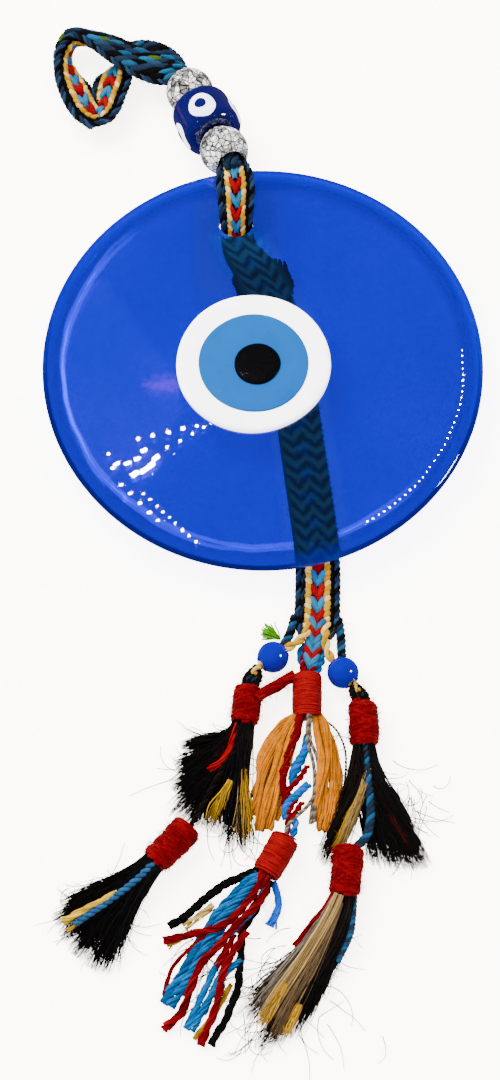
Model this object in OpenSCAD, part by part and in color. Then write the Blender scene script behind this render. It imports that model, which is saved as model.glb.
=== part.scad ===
// Evil eye ornament: a glass disc on a woven strap with beads and tassels, laid out flat on a table.
// Millimetres. The table is z = 0 and the hanging end points to +Y.
// Places are given from the centre of the glass disc, which stands at disc_at.

/* [Glass disc] */
// Diameter of the glass disc
disc_d = 120; // [118:0.5:122]
// Thickness of the glass disc
disc_t = 5.5; // [5:0.1:6]
// Width of the slope ground on the back of the rim
rim_slope = 4.5; // [3:0.5:6]
// Rounding of the front edge of the rim
rim_round = 1.8; // [1:0.1:2.2]
// Diameter of the hole that the strap goes through
hole_d = 10; // [9.6:0.1:11]

/* [Eye] */
// Diameter of the white layer
white_d = 42; // [38:0.5:46]
// Height of the white layer
white_h = 1.7; // [1:0.1:2.5]
// Diameter of the light blue layer
iris_d = 30; // [26:0.5:34]
// Height of the light blue layer
iris_h = 0.5; // [0.3:0.1:1]
// Diameter of the black layer
pupil_d = 12.6; // [10:0.2:15]
// Height of the black layer
pupil_h = 0.5; // [0.3:0.1:1]

/* [Strap] */
// Width of the woven strap
strap_w = 12; // [11:0.5:12]
// Thickness of the woven strap
strap_t = 2.8; // [2.4:0.1:2.8]
// Width of the doubled, sewn stretch behind the disc
fold_w = 16; // [14:0.5:18]
// Length of the doubled, sewn stretch
fold_l = 13; // [11:0.5:15]
// Thickness of the doubled, sewn stretch
fold_t = 3.4; // [3.2:0.1:3.4]

/* [Beads] */
// Diameter of the two silver beads
silver_d = 13.6; // [13:0.1:13.8]
// Diameter of the barrel eye bead
barrel_d = 17; // [16:0.2:17.4]
// Length of the barrel eye bead
barrel_l = 14.6; // [12:0.2:15]
// Diameter of the bores in the three large beads
bead_bore = 7.6; // [7.4:0.1:8]
// Diameter of the white dots on the barrel bead
dot_d = 8.2; // [6:0.2:9]
// Diameter of the two blue beads
blue_d = 8.2; // [7.6:0.1:8.4]
// Diameter of the bores in the blue beads
blue_bore = 3.4; // [3.2:0.1:3.6]

/* [Tassels] */
// Diameter of the wound necks of the tassels
wrap_d = 8; // [7:0.2:8]
// Diameter of the thick yarns
yarn_d = 2.3; // [2:0.1:2.4]
// Height of a fringe where it leaves its wrap
fringe_root_h = 5.4; // [4.5:0.1:5.4]
// Height of a fringe at its tips
fringe_tip_h = 2.6; // [2:0.1:2.6]

/* [Hidden] */
// Where the centre of the glass disc stands, so that the middle of the whole object is over the origin
disc_at = [0, 45, 0];
// The glass was poured a little off the middle of its eye
glass_at = [0.8, 1.4, 0];
// Height of the glass disc's back above the table: it lies on the sewn fold
disc_z = 4;
hole_at = [-6.6, 45];
white_at = [-1.8, 0.2];
iris_at = [-1.7, -0.2];
pupil_at = [-0.7, -0.8];
// The three large beads stand on one line, one step apart
eye_bead_at = [-15, 77.2, 10.4];
bead_step = [5, -12, 3.5];
left_blue_at = [3.3, -82.4, 4.3];
right_blue_at = [21.5, -86.7, 4.3];
fold_at = [1, 28.5, 0];
fold_turn = 20;
gap = 0.15;
SIDES = 8;
SUBSTEPS = 2;

// Route of the strap: x, y, z, width, thickness, lean in degrees
strap_route = concat(
    [for (k = [-1.4, -1, 0, 1]) concat(eye_bead_at + k * bead_step, [6, 6, 0])],
    [
        concat(eye_bead_at + 1.6 * bead_step, [7, 3.6, 0]),
        [-6.8, 55.6, 15.9, 8.4, strap_t, 0],
        [-6.7, 52.6, 14.4, 9.2, strap_t, 0],
        [-6.6, 49.8, 12.2, 8, 2.4, 0],
        [-6.6, 47.2, 9.9, 6.8, 2.4, 0],
        [-6.5, 45.0, 6.7, 6.8, 2.4, 0],
        [-6.4, 43.4, 3.9, 6.8, 2.4, 0],
        [-5.9, 41.0, 2.0, 7.5, 2.4, 0],
        [-4.6, 37.5, 1.5, 10, strap_t, 0],
        [-1.0, 32, 1.5, strap_w, strap_t, 0],
        [3.2, 23, 1.5, strap_w, strap_t, 0],
        [7.5, 8, 1.5, strap_w, strap_t, 0],
        [9.8, -8, 1.5, strap_w, strap_t, 0],
        [11.8, -24, 1.5, strap_w, strap_t, 0],
        [13.8, -40, 1.5, strap_w, strap_t, 0],
        [15.3, -54, 1.5, strap_w, strap_t, 0],
        [15.2, -66, 1.5, strap_w, strap_t, 0],
        [14.9, -72, 1.5, strap_w, strap_t, 0],
        [14.8, -76, 1.5, 8, strap_t, 0],
        [14.6, -80, 1.5, 5.4, strap_t, 0],
        [14.2, -84, 1.5, 4, strap_t, 0]
    ]
);

// Route of the hanging loop, from the upper silver bead round and back to it
loop_route = [
    [-22.5, 96.9, 7.6, 5, 2.4, 0],
    [-24.4, 98.8, 7.9, 6.5, 2.6, 5],
    [-28, 100.4, 8.2, 8.5, 3, 14],
    [-33.2, 102.4, 8.2, 9, 3.2, 20],
    [-39.4, 105.6, 7.8, 9, 3.2, 24],
    [-45.6, 109.4, 6.6, 9, 3.4, 30],
    [-51, 111.8, 5.6, 9, 3.6, 42],
    [-55.4, 110.4, 5, 9, 3.6, 58],
    [-57.8, 105.4, 4.9, 9, 3.6, 76],
    [-57.6, 98.8, 4.9, 9, 3.6, 100],
    [-56, 92, 4.9, 9, 3.6, 124],
    [-53, 85.8, 4.9, 9, 3.6, 138],
    [-49, 81.2, 4.6, 9, 3.6, 145],
    [-45, 82.6, 4.6, 9, 3.6, 144],
    [-42, 87.4, 4.8, 9, 3.6, 134],
    [-39.8, 92.4, 4.8, 9, 3.6, 110],
    [-38.2, 97, 3.6, 9, 3.2, 50],
    [-36.2, 101.6, 2.2, 9, 2.8, 10],
    [-33.2, 104.4, 1.7, 9, 2.8, 0],
    [-29.4, 104, 1.8, 9, 2.8, 0],
    [-26, 101.8, 2.8, 8, 2.6, 0],
    [-24, 99.4, 3.9, 6, 2.4, 0],
    [-22.5, 96.9, 4.5, 5, 2.4, 0]
];

// Yarns: routes of x, y, z; their thickness is given where they are drawn
left_gold_route = [
    [12, -76, 4.5], [9.2, -78.4, 4.3], [6.7, -80.1, 4.3], left_blue_at, [-0.7, -85.1, 4.3]
];
right_gold_route = [
    [16.4, -76.6, 4.5], [17.2, -80, 4.3], [18.9, -83.4, 4.3], right_blue_at, [24.2, -90.0, 4.3]
];
left_edge_route = [[8, -73.8, 1.4], [7.3, -76, 1.4], [6.4, -78, 1.4]];
right_edge_route = [[21.3, -73.8, 1.4], [21.6, -77, 1.4], [21.2, -80.4, 1.4]];
left_neck_route = [[-2.2, -86.6, 4.2], [-2.8, -88.2, 4.2], [-3, -89.9, 4.1]];
right_neck_route = [[25.8, -92, 4.2], [26.3, -93.1, 4.2], [26.5, -94.2, 4.1]];
red_link_route = [[2.3, -95, 4], [3.8, -91.6, 3.4], [5.8, -88.8, 3]];
left_red_route = [[-6.9, -101.2, 6.7], [-9.8, -107.5, 6.3], [-14.6, -113.6, 5.2]];
left_string_route = [[-4.6, -101, 6.9], [-9.5, -112, 6.2], [-14, -121, 5], [-17, -126.6, 4.2]];
left_gold_strand_routes = [
    [[-2.8, -101.3, 6.6], [-5, -114, 5.7], [-7.6, -127, 4.2]],
    [[-1.2, -101.5, 6.5], [-3.2, -114, 5.6], [-5, -127.6, 4.2]]
];
centre_red_route = [[9.6, -99.5, 7], [6.6, -108, 6.4], [6, -118, 5.4], [7.2, -128, 4.4]];
centre_blue_route = [[12.1, -99.5, 7], [9.8, -109, 6.6], [9.4, -118, 5.6], [10, -126, 4.6]];
centre_grey_route = [[14.4, -99.5, 6.8], [12.8, -109, 6.4], [12.6, -118, 5.6], [12.8, -127, 4.6]];
right_gold_strand_route = [[24.9, -106.7, 6.9], [22.6, -119, 6], [18.6, -131, 4.6]];
right_string_route = [[27, -106.7, 6.9], [26.6, -117, 6.2], [24.8, -125, 5], [22.4, -131.4, 4.2]];
lower_left_blue_route = [[-27.6, -137.8, 6.8], [-36, -145, 6.2], [-47, -153.6, 4.2]];
lower_left_gold_route = [[-29.6, -136.4, 6.6], [-39.6, -143.6, 5.8], [-49.4, -150.4, 4]];
lower_right_red_route = [[18, -146.6, 6.6], [14.2, -153.4, 6.4], [10.2, -160.6, 5.8]];
lower_right_tan_routes = [
    [[19.8, -146.8, 6.8], [11.6, -162, 5.6], [1.4, -178.6, 4]],
    [[21.4, -146.9, 6.9], [14.8, -162, 5.7], [4.8, -180, 4]]
];
lower_right_navy_route = [[23.6, -146.6, 6.5], [22.8, -155, 6.2], [19, -166, 4.8]];

$fn = 64;

navy = [0.10, 0.16, 0.26];
black = [0.06, 0.05, 0.05];
gold = [0.85, 0.65, 0.22];
cream = [0.93, 0.84, 0.68];
dark_red = [0.66, 0.05, 0.05];
bright_red = [0.86, 0.13, 0.09];
yarn_blue = [0.08, 0.52, 0.78];
orange = [0.94, 0.62, 0.22];
silver = [0.78, 0.79, 0.80];
tan_hair = [0.72, 0.62, 0.42];

// ---- Sweeps ----

function unit(v) = v / norm(v);
function xyz(p) = [p[0], p[1], p[2]];
function spline(a, b, c, d, t) =
    0.5 * (2 * b + (c - a) * t + (2 * a - 5 * b + 4 * c - d) * t * t + (3 * b - a - 3 * c + d) * t * t * t);

// The route with SUBSTEPS rings to each of its stretches, on a smooth curve through its points
function smooth(r) = let (last = len(r) - 1) concat(
    [
        for (i = [0 : last - 1], s = [0 : SUBSTEPS - 1])
            spline(r[max(i - 1, 0)], r[i], r[i + 1], r[min(i + 2, last)], s / SUBSTEPS)
    ],
    [r[last]]
);

// One value with its sign kept, pressed towards a flat-sided ring
function press(c) = sign(c) * pow(abs(c) / cos(180 / SIDES), 0.7);

function ring(r, i) = let (
    last = len(r) - 1,
    along = unit(xyz(r[min(i + 1, last)]) - xyz(r[max(i - 1, 0)])),
    level = unit(cross([0, 0, 1], along)),
    over = cross(along, level),
    across = level * cos(r[i][5]) + over * sin(r[i][5]),
    out = cross(along, across)
) [
    for (k = [0 : SIDES - 1])
        let (a = 360 * (k + 0.5) / SIDES)
            xyz(r[i]) + across * press(cos(a)) * r[i][3] / 2 + out * press(sin(a)) * r[i][4] / 2
];

module sweep(route) {
    rings = smooth(route);
    last = len(rings) - 1;
    points = [for (i = [0 : last]) each ring(rings, i)];
    sides = [
        for (i = [0 : last - 1], k = [0 : SIDES - 1])
            let (n = (k + 1) % SIDES) each [
                [i * SIDES + k, (i + 1) * SIDES + k, i * SIDES + n],
                [i * SIDES + n, (i + 1) * SIDES + k, (i + 1) * SIDES + n]
            ]
    ];
    ends = [
        [for (k = [0 : SIDES - 1]) k],
        [for (k = [SIDES - 1 : -1 : 0]) last * SIDES + k]
    ];
    polyhedron(points, concat(sides, ends), convexity = 6);
}

// A round yarn along a route of x, y, z
module yarn(route, d) {
    sweep([for (p = route) concat(p, [d, d, 0])]);
}

module from_disc() {
    translate(disc_at) children();
}

// ---- Tassel pieces ----

// A wound neck that lies on the table from one point to another, with rounded ends
module wrap(from, to, d) {
    along = to - from;
    length = norm(along);
    edge = 0.9;
    translate([from[0], from[1], d / 2 + gap])
        rotate([90, 0, atan2(along[1], along[0]) + 90])
            rotate_extrude()
                polygon(concat(
                    [[0, 0]],
                    [for (a = [0 : 30 : 90]) [d / 2 - edge + edge * sin(a), edge - edge * cos(a)]],
                    [for (a = [90 : 30 : 180]) [d / 2 - edge + edge * sin(a), length - edge - edge * cos(a)]],
                    [[0, length]]
                ));
}

// A fringe: a flat closed solid from its root to its tips
module fan(root, root_r, tips, tip_r = 1.2) {
    translate([0, 0, gap])
        hull() {
            translate(root) cylinder(r = root_r, h = fringe_root_h, $fn = 20);
            for (p = tips) translate(p) cylinder(r = tip_r, h = fringe_tip_h, $fn = 16);
        }
}

// Turns a piece drawn along Z into the line of the three large beads
module on_bead_line(k) {
    lean = atan2(norm([bead_step[0], bead_step[1]]), bead_step[2]);
    translate(eye_bead_at + k * bead_step)
        rotate([0, 0, atan2(bead_step[1], bead_step[0])])
            rotate([0, lean, 0])
                children();
}

// ---- Hanging end ----

module hanging_loop() {
    color(navy) from_disc() sweep(loop_route);
}

module bored_ball(d, bore) {
    difference() {
        sphere(d = d);
        cylinder(d = bore, h = d + 2, center = true);
    }
}

module upper_silver_bead() {
    color(silver) from_disc() on_bead_line(-1) bored_ball(silver_d, bead_bore);
}

module lower_silver_bead() {
    color(silver) from_disc() on_bead_line(1) bored_ball(silver_d, bead_bore);
}

// The barrel made bigger all round by grow: bore, flat ends and round shoulders
module barrel(grow) {
    r = barrel_d / 2 + grow;
    half = barrel_l / 2 + grow;
    shoulder = 2.6;
    rotate_extrude()
        polygon(concat(
            [[bead_bore / 2, -half]],
            [for (a = [0 : 15 : 90]) [r - shoulder + shoulder * sin(a), -half + shoulder - shoulder * cos(a)]],
            [for (a = [90 : 15 : 180]) [r - shoulder + shoulder * sin(a), half - shoulder - shoulder * cos(a)]],
            [[bead_bore / 2, half]]
        ));
}

dot_h = 0.3;
dot_sink = 1.2;

// Four round plugs that stand out of the barrel's side
module dots(d) {
    first_dot = 188;
    for (i = [0 : 3])
        rotate([0, 0, first_dot + 90 * i])
            translate([barrel_d / 2 - dot_sink, 0, 0])
                rotate([0, 90, 0])
                    cylinder(d = d, h = 4);
}

module eye_bead() {
    color([0.08, 0.07, 0.42]) from_disc() on_bead_line(0)
        difference() {
            barrel(0);
            dots(dot_d);
        }
}

module eye_bead_whites() {
    color("white") from_disc() on_bead_line(0)
        intersection() {
            barrel(dot_h);
            dots(dot_d);
        }
}

module eye_bead_pupils() {
    color([0.05, 0.05, 0.35]) from_disc() on_bead_line(0)
        difference() {
            intersection() {
                barrel(2 * dot_h);
                dots(dot_d * 0.42);
            }
            barrel(dot_h);
        }
}

// ---- Glass disc and eye ----

// Half outline of the disc: flat back, sloping rim, round front edge
module disc_outline() {
    r = disc_d / 2;
    waist = disc_t - rim_round;
    polygon(concat(
        [[0, 0]],
        [for (a = [0 : 15 : 90]) [r - rim_slope + rim_slope * sin(a), waist - waist * cos(a)]],
        [for (a = [15 : 15 : 90]) [r - rim_round + rim_round * cos(a), waist + rim_round * sin(a)]],
        [[0, disc_t]]
    ));
}

module glass_disc() {
    color([0.10, 0.25, 0.85, 0.6]) from_disc()
        translate([0, 0, disc_z])
            difference() {
                translate(glass_at) rotate_extrude($fn = 128) disc_outline();
                translate([hole_at[0], hole_at[1], -1]) cylinder(d = hole_d, h = disc_t + 2);
            }
}

// A round layer of glass with a soft edge
module layer(d, h, edge) {
    rotate_extrude($fn = 96)
        polygon(concat(
            [[0, 0]],
            [for (a = [0 : 15 : 90]) [d / 2 - edge + edge * cos(a), h - edge + edge * sin(a)]],
            [[0, h]]
        ));
}

module round_layer(at, z, d, h) {
    edge = h * 0.8;
    from_disc() translate([at[0], at[1], z])
        union() {
            layer(d, h, edge);
            cylinder(d = d, h = h - edge, $fn = 96);
        }
}

module white_eye() {
    color("white") round_layer(white_at, disc_z + disc_t, white_d, white_h);
}

module blue_iris() {
    color([0.07, 0.74, 1]) round_layer(iris_at, disc_z + disc_t + white_h, iris_d, iris_h);
}

module black_pupil() {
    color("black") round_layer(pupil_at, disc_z + disc_t + white_h + iris_h, pupil_d, pupil_h);
}

// ---- Strap ----

module main_strap() {
    color(dark_red) from_disc() sweep(strap_route);
}

module stitched_fold() {
    corner = 2;
    color(black) from_disc() translate(fold_at) rotate([0, 0, fold_turn])
        union() {
            translate([-fold_w / 2, corner - fold_l / 2, 0]) cube([fold_w, fold_l - 2 * corner, fold_t]);
            translate([corner - fold_w / 2, -fold_l / 2, 0]) cube([fold_w - 2 * corner, fold_l, fold_t]);
            for (x = [-1, 1], y = [-1, 1])
                translate([x * (fold_w / 2 - corner), y * (fold_l / 2 - corner), 0])
                    cylinder(r = corner, h = fold_t);
        }
}

// Stitches of sewing thread across the two ends of the fold, on its upper face
module fold_stitches() {
    stitch_d = 0.24;
    stitch_l = 1.6;
    rows = 5;
    color(cream) from_disc() translate(fold_at) rotate([0, 0, fold_turn])
        for (end = [-1, 1], i = [0 : rows - 1])
            translate([(i - (rows - 1) / 2) * 2.6 - stitch_l / 2, end * (fold_l / 2 - 1.6), fold_t + stitch_d / 2])
                rotate([0, 90, 0])
                    cylinder(d = stitch_d, h = stitch_l, $fn = 16);
}

module green_tuft() {
    color([0.45, 0.65, 0.15]) from_disc()
        translate([4.6, -76.2, 2])
            rotate([0, -80, -25])
                cylinder(r1 = 0.8, r2 = 1.9, h = 4.6, $fn = 24);
}

module left_gold_yarn() {
    color(gold) from_disc() yarn(left_gold_route, yarn_d);
}

module right_gold_yarn() {
    color(gold) from_disc() yarn(right_gold_route, yarn_d);
}

module left_edge_yarn() {
    color(navy) from_disc() yarn(left_edge_route, yarn_d);
}

module right_edge_yarn() {
    color(navy) from_disc() yarn(right_edge_route, yarn_d);
}

// A blue bead, its bore turned to lie along the yarn
module blue_bead(at, turn) {
    color([0, 0.28, 0.92]) from_disc() translate(at)
        rotate([0, 90, turn]) bored_ball(blue_d, blue_bore);
}

module left_blue_bead() {
    blue_bead(left_blue_at, 34);
}

module right_blue_bead() {
    blue_bead(right_blue_at, -51);
}

// ---- Left tassel ----

module left_neck() {
    color(black) from_disc() yarn(left_neck_route, 3.8);
}

module left_wrap() {
    color(dark_red) from_disc() wrap([-2.9, -90.5], [-4.4, -100.6], wrap_d);
}

module left_fringe() {
    color(black) from_disc()
        fan([-5.6, -104.5], 3.5, [[-17, -106], [-20.6, -112], [-20.6, -118], [-9.5, -131], [-5.2, -131]]);
}

module left_red_strand() {
    color(dark_red) from_disc() yarn(left_red_route, 1.6);
}

module left_gold_strands() {
    color(gold) from_disc()
        for (r = left_gold_strand_routes) yarn(r, 1.1);
}

module left_string() {
    color(black) from_disc() yarn(left_string_route, 1.6);
}

module red_link() {
    color(dark_red) from_disc() yarn(red_link_route, 3);
}

// ---- Centre tassel ----

module centre_wrap() {
    color(bright_red) from_disc() wrap([12.2, -86.4], [12, -99.2], wrap_d);
}

module left_orange_skein() {
    color(orange) from_disc() fan([9.7, -101.6], 2.1, [[3, -110], [-1.2, -120], [-0.6, -127.4], [3.6, -122]]);
}

module right_orange_skein() {
    color(orange) from_disc() fan([14.6, -101.6], 2.1, [[17.2, -112], [16.2, -120], [14.2, -128.6], [11.8, -125.6]]);
}

module centre_red_strand() {
    color(dark_red) from_disc() yarn(centre_red_route, 2.2);
}

module centre_blue_strand() {
    color(yarn_blue) from_disc() yarn(centre_blue_route, 2);
}

module centre_grey_cords() {
    color([0.5, 0.47, 0.42]) from_disc() yarn(centre_grey_route, 1.7);
}

// ---- Right tassel ----

module right_neck() {
    color(black) from_disc() yarn(right_neck_route, 3.6);
}

module right_wrap() {
    color(dark_red) from_disc() wrap([26.5, -94.8], [26.6, -106.4], wrap_d);
}

// Two locks, one on each side of the string of the lower tassel
module right_fringe() {
    color(black) from_disc() {
        fan([24.9, -108.9], 2, [[15.6, -135.6], [18, -127]], 1.1);
        fan([28.9, -108.9], 1.9, [[29, -135.8], [41.8, -135.8], [39, -124]]);
    }
}

module right_gold_strand() {
    color(gold) from_disc() yarn(right_gold_strand_route, 1.3);
}

module right_string() {
    color(navy) from_disc() yarn(right_string_route, 1.7);
}

// ---- Lower left tassel ----

module lower_left_wrap() {
    color(dark_red) from_disc() wrap([-18.2, -127.9], [-27, -137.2], wrap_d);
}

module lower_left_fringe() {
    color(black) from_disc()
        fan([-30, -140.2], 3.5, [[-49.6, -149.8], [-45.4, -157.4], [-39, -163.4]]);
}

module lower_left_blue_yarn() {
    color(yarn_blue) from_disc() yarn(lower_left_blue_route, 1.6);
}

module lower_left_gold_yarn() {
    color(gold) from_disc() yarn(lower_left_gold_route, 1.5);
}

// ---- Lower centre tassel ----

module lower_centre_wrap() {
    color(bright_red) from_disc() wrap([6.5, -130.9], [1.1, -140.4], wrap_d - 0.6);
}

module lower_centre_black_yarns() {
    color(black) from_disc() {
        fan([-2.6, -140.8], 0.8, [[-22.4, -153.4], [-16, -151]], 1.1);
        fan([2.6, -143.8], 0.8, [[-4.4, -166], [-11, -182.6]], 1.1);
    }
}

module lower_centre_blue_yarns() {
    color(yarn_blue) from_disc() fan([-0.9, -141.8], 0.8, [[-22.6, -162], [-21.4, -171], [-17.6, -172.6]], 1.1);
}

module lower_centre_red_yarns() {
    color(dark_red) from_disc() fan([0.9, -142.8], 0.8, [[-16.2, -178.6], [-13.4, -179.6]], 1.1);
}

module lower_centre_blue_tuft() {
    color(yarn_blue) from_disc() yarn([[4.9, -143.4, 2.6], [4.8, -148, 2], [3.6, -153, 1.4]], 1.8);
}

// ---- Lower right tassel ----

module lower_right_wrap() {
    color(dark_red) from_disc() wrap([22.1, -133.4], [21, -146], wrap_d);
}

module lower_right_fringe() {
    color(black) from_disc()
        fan([20.6, -149.8], 3.5, [[-4.6, -178.4], [2, -185.6], [10, -177.4], [18, -166]]);
}

module lower_right_tan_strands() {
    color(tan_hair) from_disc()
        for (r = lower_right_tan_routes) yarn(r, 1.3);
}

module lower_right_red_yarn() {
    color(dark_red) from_disc() yarn(lower_right_red_route, 1.4);
}

module lower_right_navy_yarn() {
    color(navy) from_disc() yarn(lower_right_navy_route, 1.5);
}

hanging_loop();
upper_silver_bead();
eye_bead();
eye_bead_whites();
eye_bead_pupils();
lower_silver_bead();
glass_disc();
white_eye();
blue_iris();
black_pupil();
main_strap();
stitched_fold();
fold_stitches();
green_tuft();
left_gold_yarn();
right_gold_yarn();
left_edge_yarn();
right_edge_yarn();
left_blue_bead();
right_blue_bead();
left_neck();
left_wrap();
left_fringe();
left_red_strand();
left_gold_strands();
left_string();
red_link();
centre_wrap();
left_orange_skein();
right_orange_skein();
centre_red_strand();
centre_blue_strand();
centre_grey_cords();
right_neck();
right_wrap();
right_fringe();
right_gold_strand();
right_string();
lower_left_wrap();
lower_left_fringe();
lower_left_blue_yarn();
lower_left_gold_yarn();
lower_centre_wrap();
lower_centre_black_yarns();
lower_centre_blue_yarns();
lower_centre_red_yarns();
lower_centre_blue_tuft();
lower_right_wrap();
lower_right_fringe();
lower_right_tan_strands();
lower_right_red_yarn();
lower_right_navy_yarn();
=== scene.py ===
"""Evil eye ornament: the visible pieces and materials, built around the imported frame.

Places and sizes are in millimetres from the centre of the glass disc, with the table at z = 0,
until metres() puts them into the frame.
"""
import math
import random

import bpy
import numpy as np
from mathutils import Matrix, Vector


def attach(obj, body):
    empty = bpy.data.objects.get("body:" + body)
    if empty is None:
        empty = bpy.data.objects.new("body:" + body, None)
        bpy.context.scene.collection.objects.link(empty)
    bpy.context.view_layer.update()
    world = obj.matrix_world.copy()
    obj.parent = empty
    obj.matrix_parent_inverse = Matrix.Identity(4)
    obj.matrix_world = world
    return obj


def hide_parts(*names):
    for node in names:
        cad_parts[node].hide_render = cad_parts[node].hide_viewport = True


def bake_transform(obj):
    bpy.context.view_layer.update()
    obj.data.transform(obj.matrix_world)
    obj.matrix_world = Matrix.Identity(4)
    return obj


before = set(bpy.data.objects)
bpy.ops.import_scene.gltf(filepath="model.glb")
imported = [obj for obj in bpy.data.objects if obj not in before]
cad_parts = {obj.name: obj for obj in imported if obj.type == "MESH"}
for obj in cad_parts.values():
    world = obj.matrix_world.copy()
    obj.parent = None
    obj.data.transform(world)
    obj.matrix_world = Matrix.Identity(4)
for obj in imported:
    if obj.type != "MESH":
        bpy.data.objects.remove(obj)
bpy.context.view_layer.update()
rng = np.random.default_rng(7)
random.seed(7)

DISC_Y = 45.0  # where the disc's centre stands along the frame's Y
DISC_Z = 4.0
DISC_R = 60.0
DISC_T = 5.5
GLASS_AT = (0.8, 1.4)  # the glass was poured a little off the middle of its eye
HOLE = (-6.6, 45.0)
HOLE_R = 5.0

# ---------------------------------------------------------------- places and curves


def metres(points):
    return (np.asarray(points, float) + [0, DISC_Y, 0]) * 0.001


def point(x, y, z):
    return tuple(metres([x, y, z]))


def unit(a):
    return a / np.maximum(np.linalg.norm(a, axis=-1, keepdims=True), 1e-9)


def smooth(route, n):
    """n evenly spaced points on a smooth curve through the route; extra columns are carried along."""
    r = np.asarray(route, float)
    if len(r) == 2:
        t = np.linspace(0, 1, n)[:, None]
        return r[0] * (1 - t) + r[1] * t
    p = np.vstack([2 * r[0] - r[1], r, 2 * r[-1] - r[-2]])
    t = np.linspace(0, 1, 24, endpoint=False)[:, None]
    out = []
    for i in range(len(r) - 1):
        a, b, c, d = p[i : i + 4]
        out.append(
            0.5 * (2 * b + (c - a) * t + (2 * a - 5 * b + 4 * c - d) * t**2 + (3 * b - a - 3 * c + d) * t**3)
        )
    dense = np.vstack(out + [r[-1:]])
    s = np.concatenate([[0], np.cumsum(np.linalg.norm(np.diff(dense[:, :3], axis=0), axis=1))])
    at = np.linspace(0, s[-1], n)
    return np.stack([np.interp(at, s, dense[:, k]) for k in range(dense.shape[1])], axis=1)


def length_of(points):
    return float(np.linalg.norm(np.diff(np.asarray(points)[:, :3], axis=0), axis=1).sum())


def frames(path):
    """Along, level and upward directions at each point of one path or a stack of paths."""
    along = unit(np.gradient(path, axis=-2))
    level = unit(np.cross([0.0, 0.0, 1.0], along))
    return along, level, np.cross(along, level)


def around(level, over, angle):
    """Unit vectors at an angle round a path, given its level and upward directions."""
    return level * np.cos(angle)[..., None] + over * np.sin(angle)[..., None]


def axis_frame(a, b):
    """Directions of a straight axis from a to b, as frames() gives them, and its length."""
    along = unit(b - a)
    level = unit(np.cross([0.0, 0.0, 1.0], along))
    return along, level, np.cross(along, level), np.linalg.norm(b - a)


# ---------------------------------------------------------------- meshes


def ring_faces(*shape):
    """The quads between neighbouring closed rings of points; shape ends with (rings, points in a ring)."""
    here = np.arange(math.prod(shape)).reshape(shape)
    beside = np.roll(here, -1, axis=-1)
    corners = (here[..., :-1, :], beside[..., :-1, :], beside[..., 1:, :], here[..., 1:, :])
    return np.stack(corners, axis=-1).reshape(-1, 4)


def circle(sides):
    return np.linspace(0, 2 * np.pi, sides, endpoint=False)


def smooth_mesh(name, verts, faces):
    me = bpy.data.meshes.new(name)
    me.from_pydata(verts.tolist(), [], faces.tolist())
    me.polygons.foreach_set("use_smooth", np.ones(len(me.polygons), bool))
    return me


class Soup:
    """Many small tubes and stitches gathered into one mesh, with a colour and a UV at each vertex."""

    def __init__(self):
        self.v, self.f, self.c, self.uv, self.n = [], [], [], [], 0

    def add(self, verts, faces, colours, uv):
        self.v.append(verts.reshape(-1, 3))
        self.f.append(faces + self.n)
        self.c.append(colours.reshape(-1, 3))
        self.uv.append(uv.reshape(-1, 2))
        self.n += len(self.v[-1])

    def tubes(self, paths, radii, colours, sides=6):
        """Closed tubes on paths (M, N, 3); radii and colours broadcast to (M, N) and (M, N, 3)."""
        paths = np.asarray(paths, float)
        if paths.ndim == 2:
            paths = paths[None]
        m, n = paths.shape[:2]
        radii = np.broadcast_to(np.asarray(radii, float), (m, n)).copy()
        colours = np.asarray(colours, float)
        if colours.ndim == 2:
            colours = colours[:, None, :]
        colours = np.broadcast_to(colours, (m, n, 3))
        _, level, over = frames(paths)
        ends = [0] + list(range(n)) + [n - 1]
        paths, level, over, colours = paths[:, ends], level[:, ends], over[:, ends], colours[:, ends]
        radii = radii[:, ends]
        radii[:, [0, -1]] = 0.0
        n += 2
        ring = around(level[:, :, None], over[:, :, None], circle(sides))
        verts = paths[:, :, None] + ring * radii[:, :, None, None]
        steps = np.linalg.norm(np.diff(paths, axis=1), axis=2)
        s = np.concatenate([np.zeros((m, 1)), np.cumsum(steps, axis=1)], axis=1)
        uv = np.stack(np.broadcast_arrays(np.arange(sides) / sides, s[:, :, None]), axis=-1)
        self.add(verts, ring_faces(m, n, sides), np.broadcast_to(colours[:, :, None], (m, n, sides, 3)), uv)

    def mesh(self, name):
        me = smooth_mesh(name, metres(np.concatenate(self.v)), np.concatenate(self.f))
        me.update()
        col = me.color_attributes.new("col", "FLOAT_COLOR", "POINT")
        rgba = np.ones((self.n, 4), np.float32)
        rgba[:, :3] = np.clip(np.concatenate(self.c), 0, 1)
        col.data.foreach_set("color", rgba.ravel())
        loops = np.empty(len(me.loops), np.int32)
        me.loops.foreach_get("vertex_index", loops)
        layer = me.uv_layers.new(name="UVMap")
        layer.data.foreach_set("uv", np.concatenate(self.uv).astype(np.float32)[loops].ravel())
        return me


def put(name, mesh, material, slot, replaces=()):
    """A new object from a mesh, with its material and the CAD nodes that it stands for."""
    obj = bpy.data.objects.new(name, mesh)
    bpy.context.scene.collection.objects.link(obj)
    obj.data.materials.append(material)
    if replaces:
        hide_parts(*replaces)
    return obj


def lathe(name, profile, place, segments=96):
    """A body turned from a profile of radius and height; place maps local mm points to ornament mm."""
    profile = np.asarray(profile, float)
    a = circle(segments)
    r, z = profile[:, 0][:, None], profile[:, 1][:, None]
    local = np.stack(np.broadcast_arrays(r * np.cos(a), r * np.sin(a), z), axis=-1)
    me = smooth_mesh(name, metres(place(local.reshape(-1, 3))), ring_faces(len(profile), segments))
    me.validate()
    return me


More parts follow.
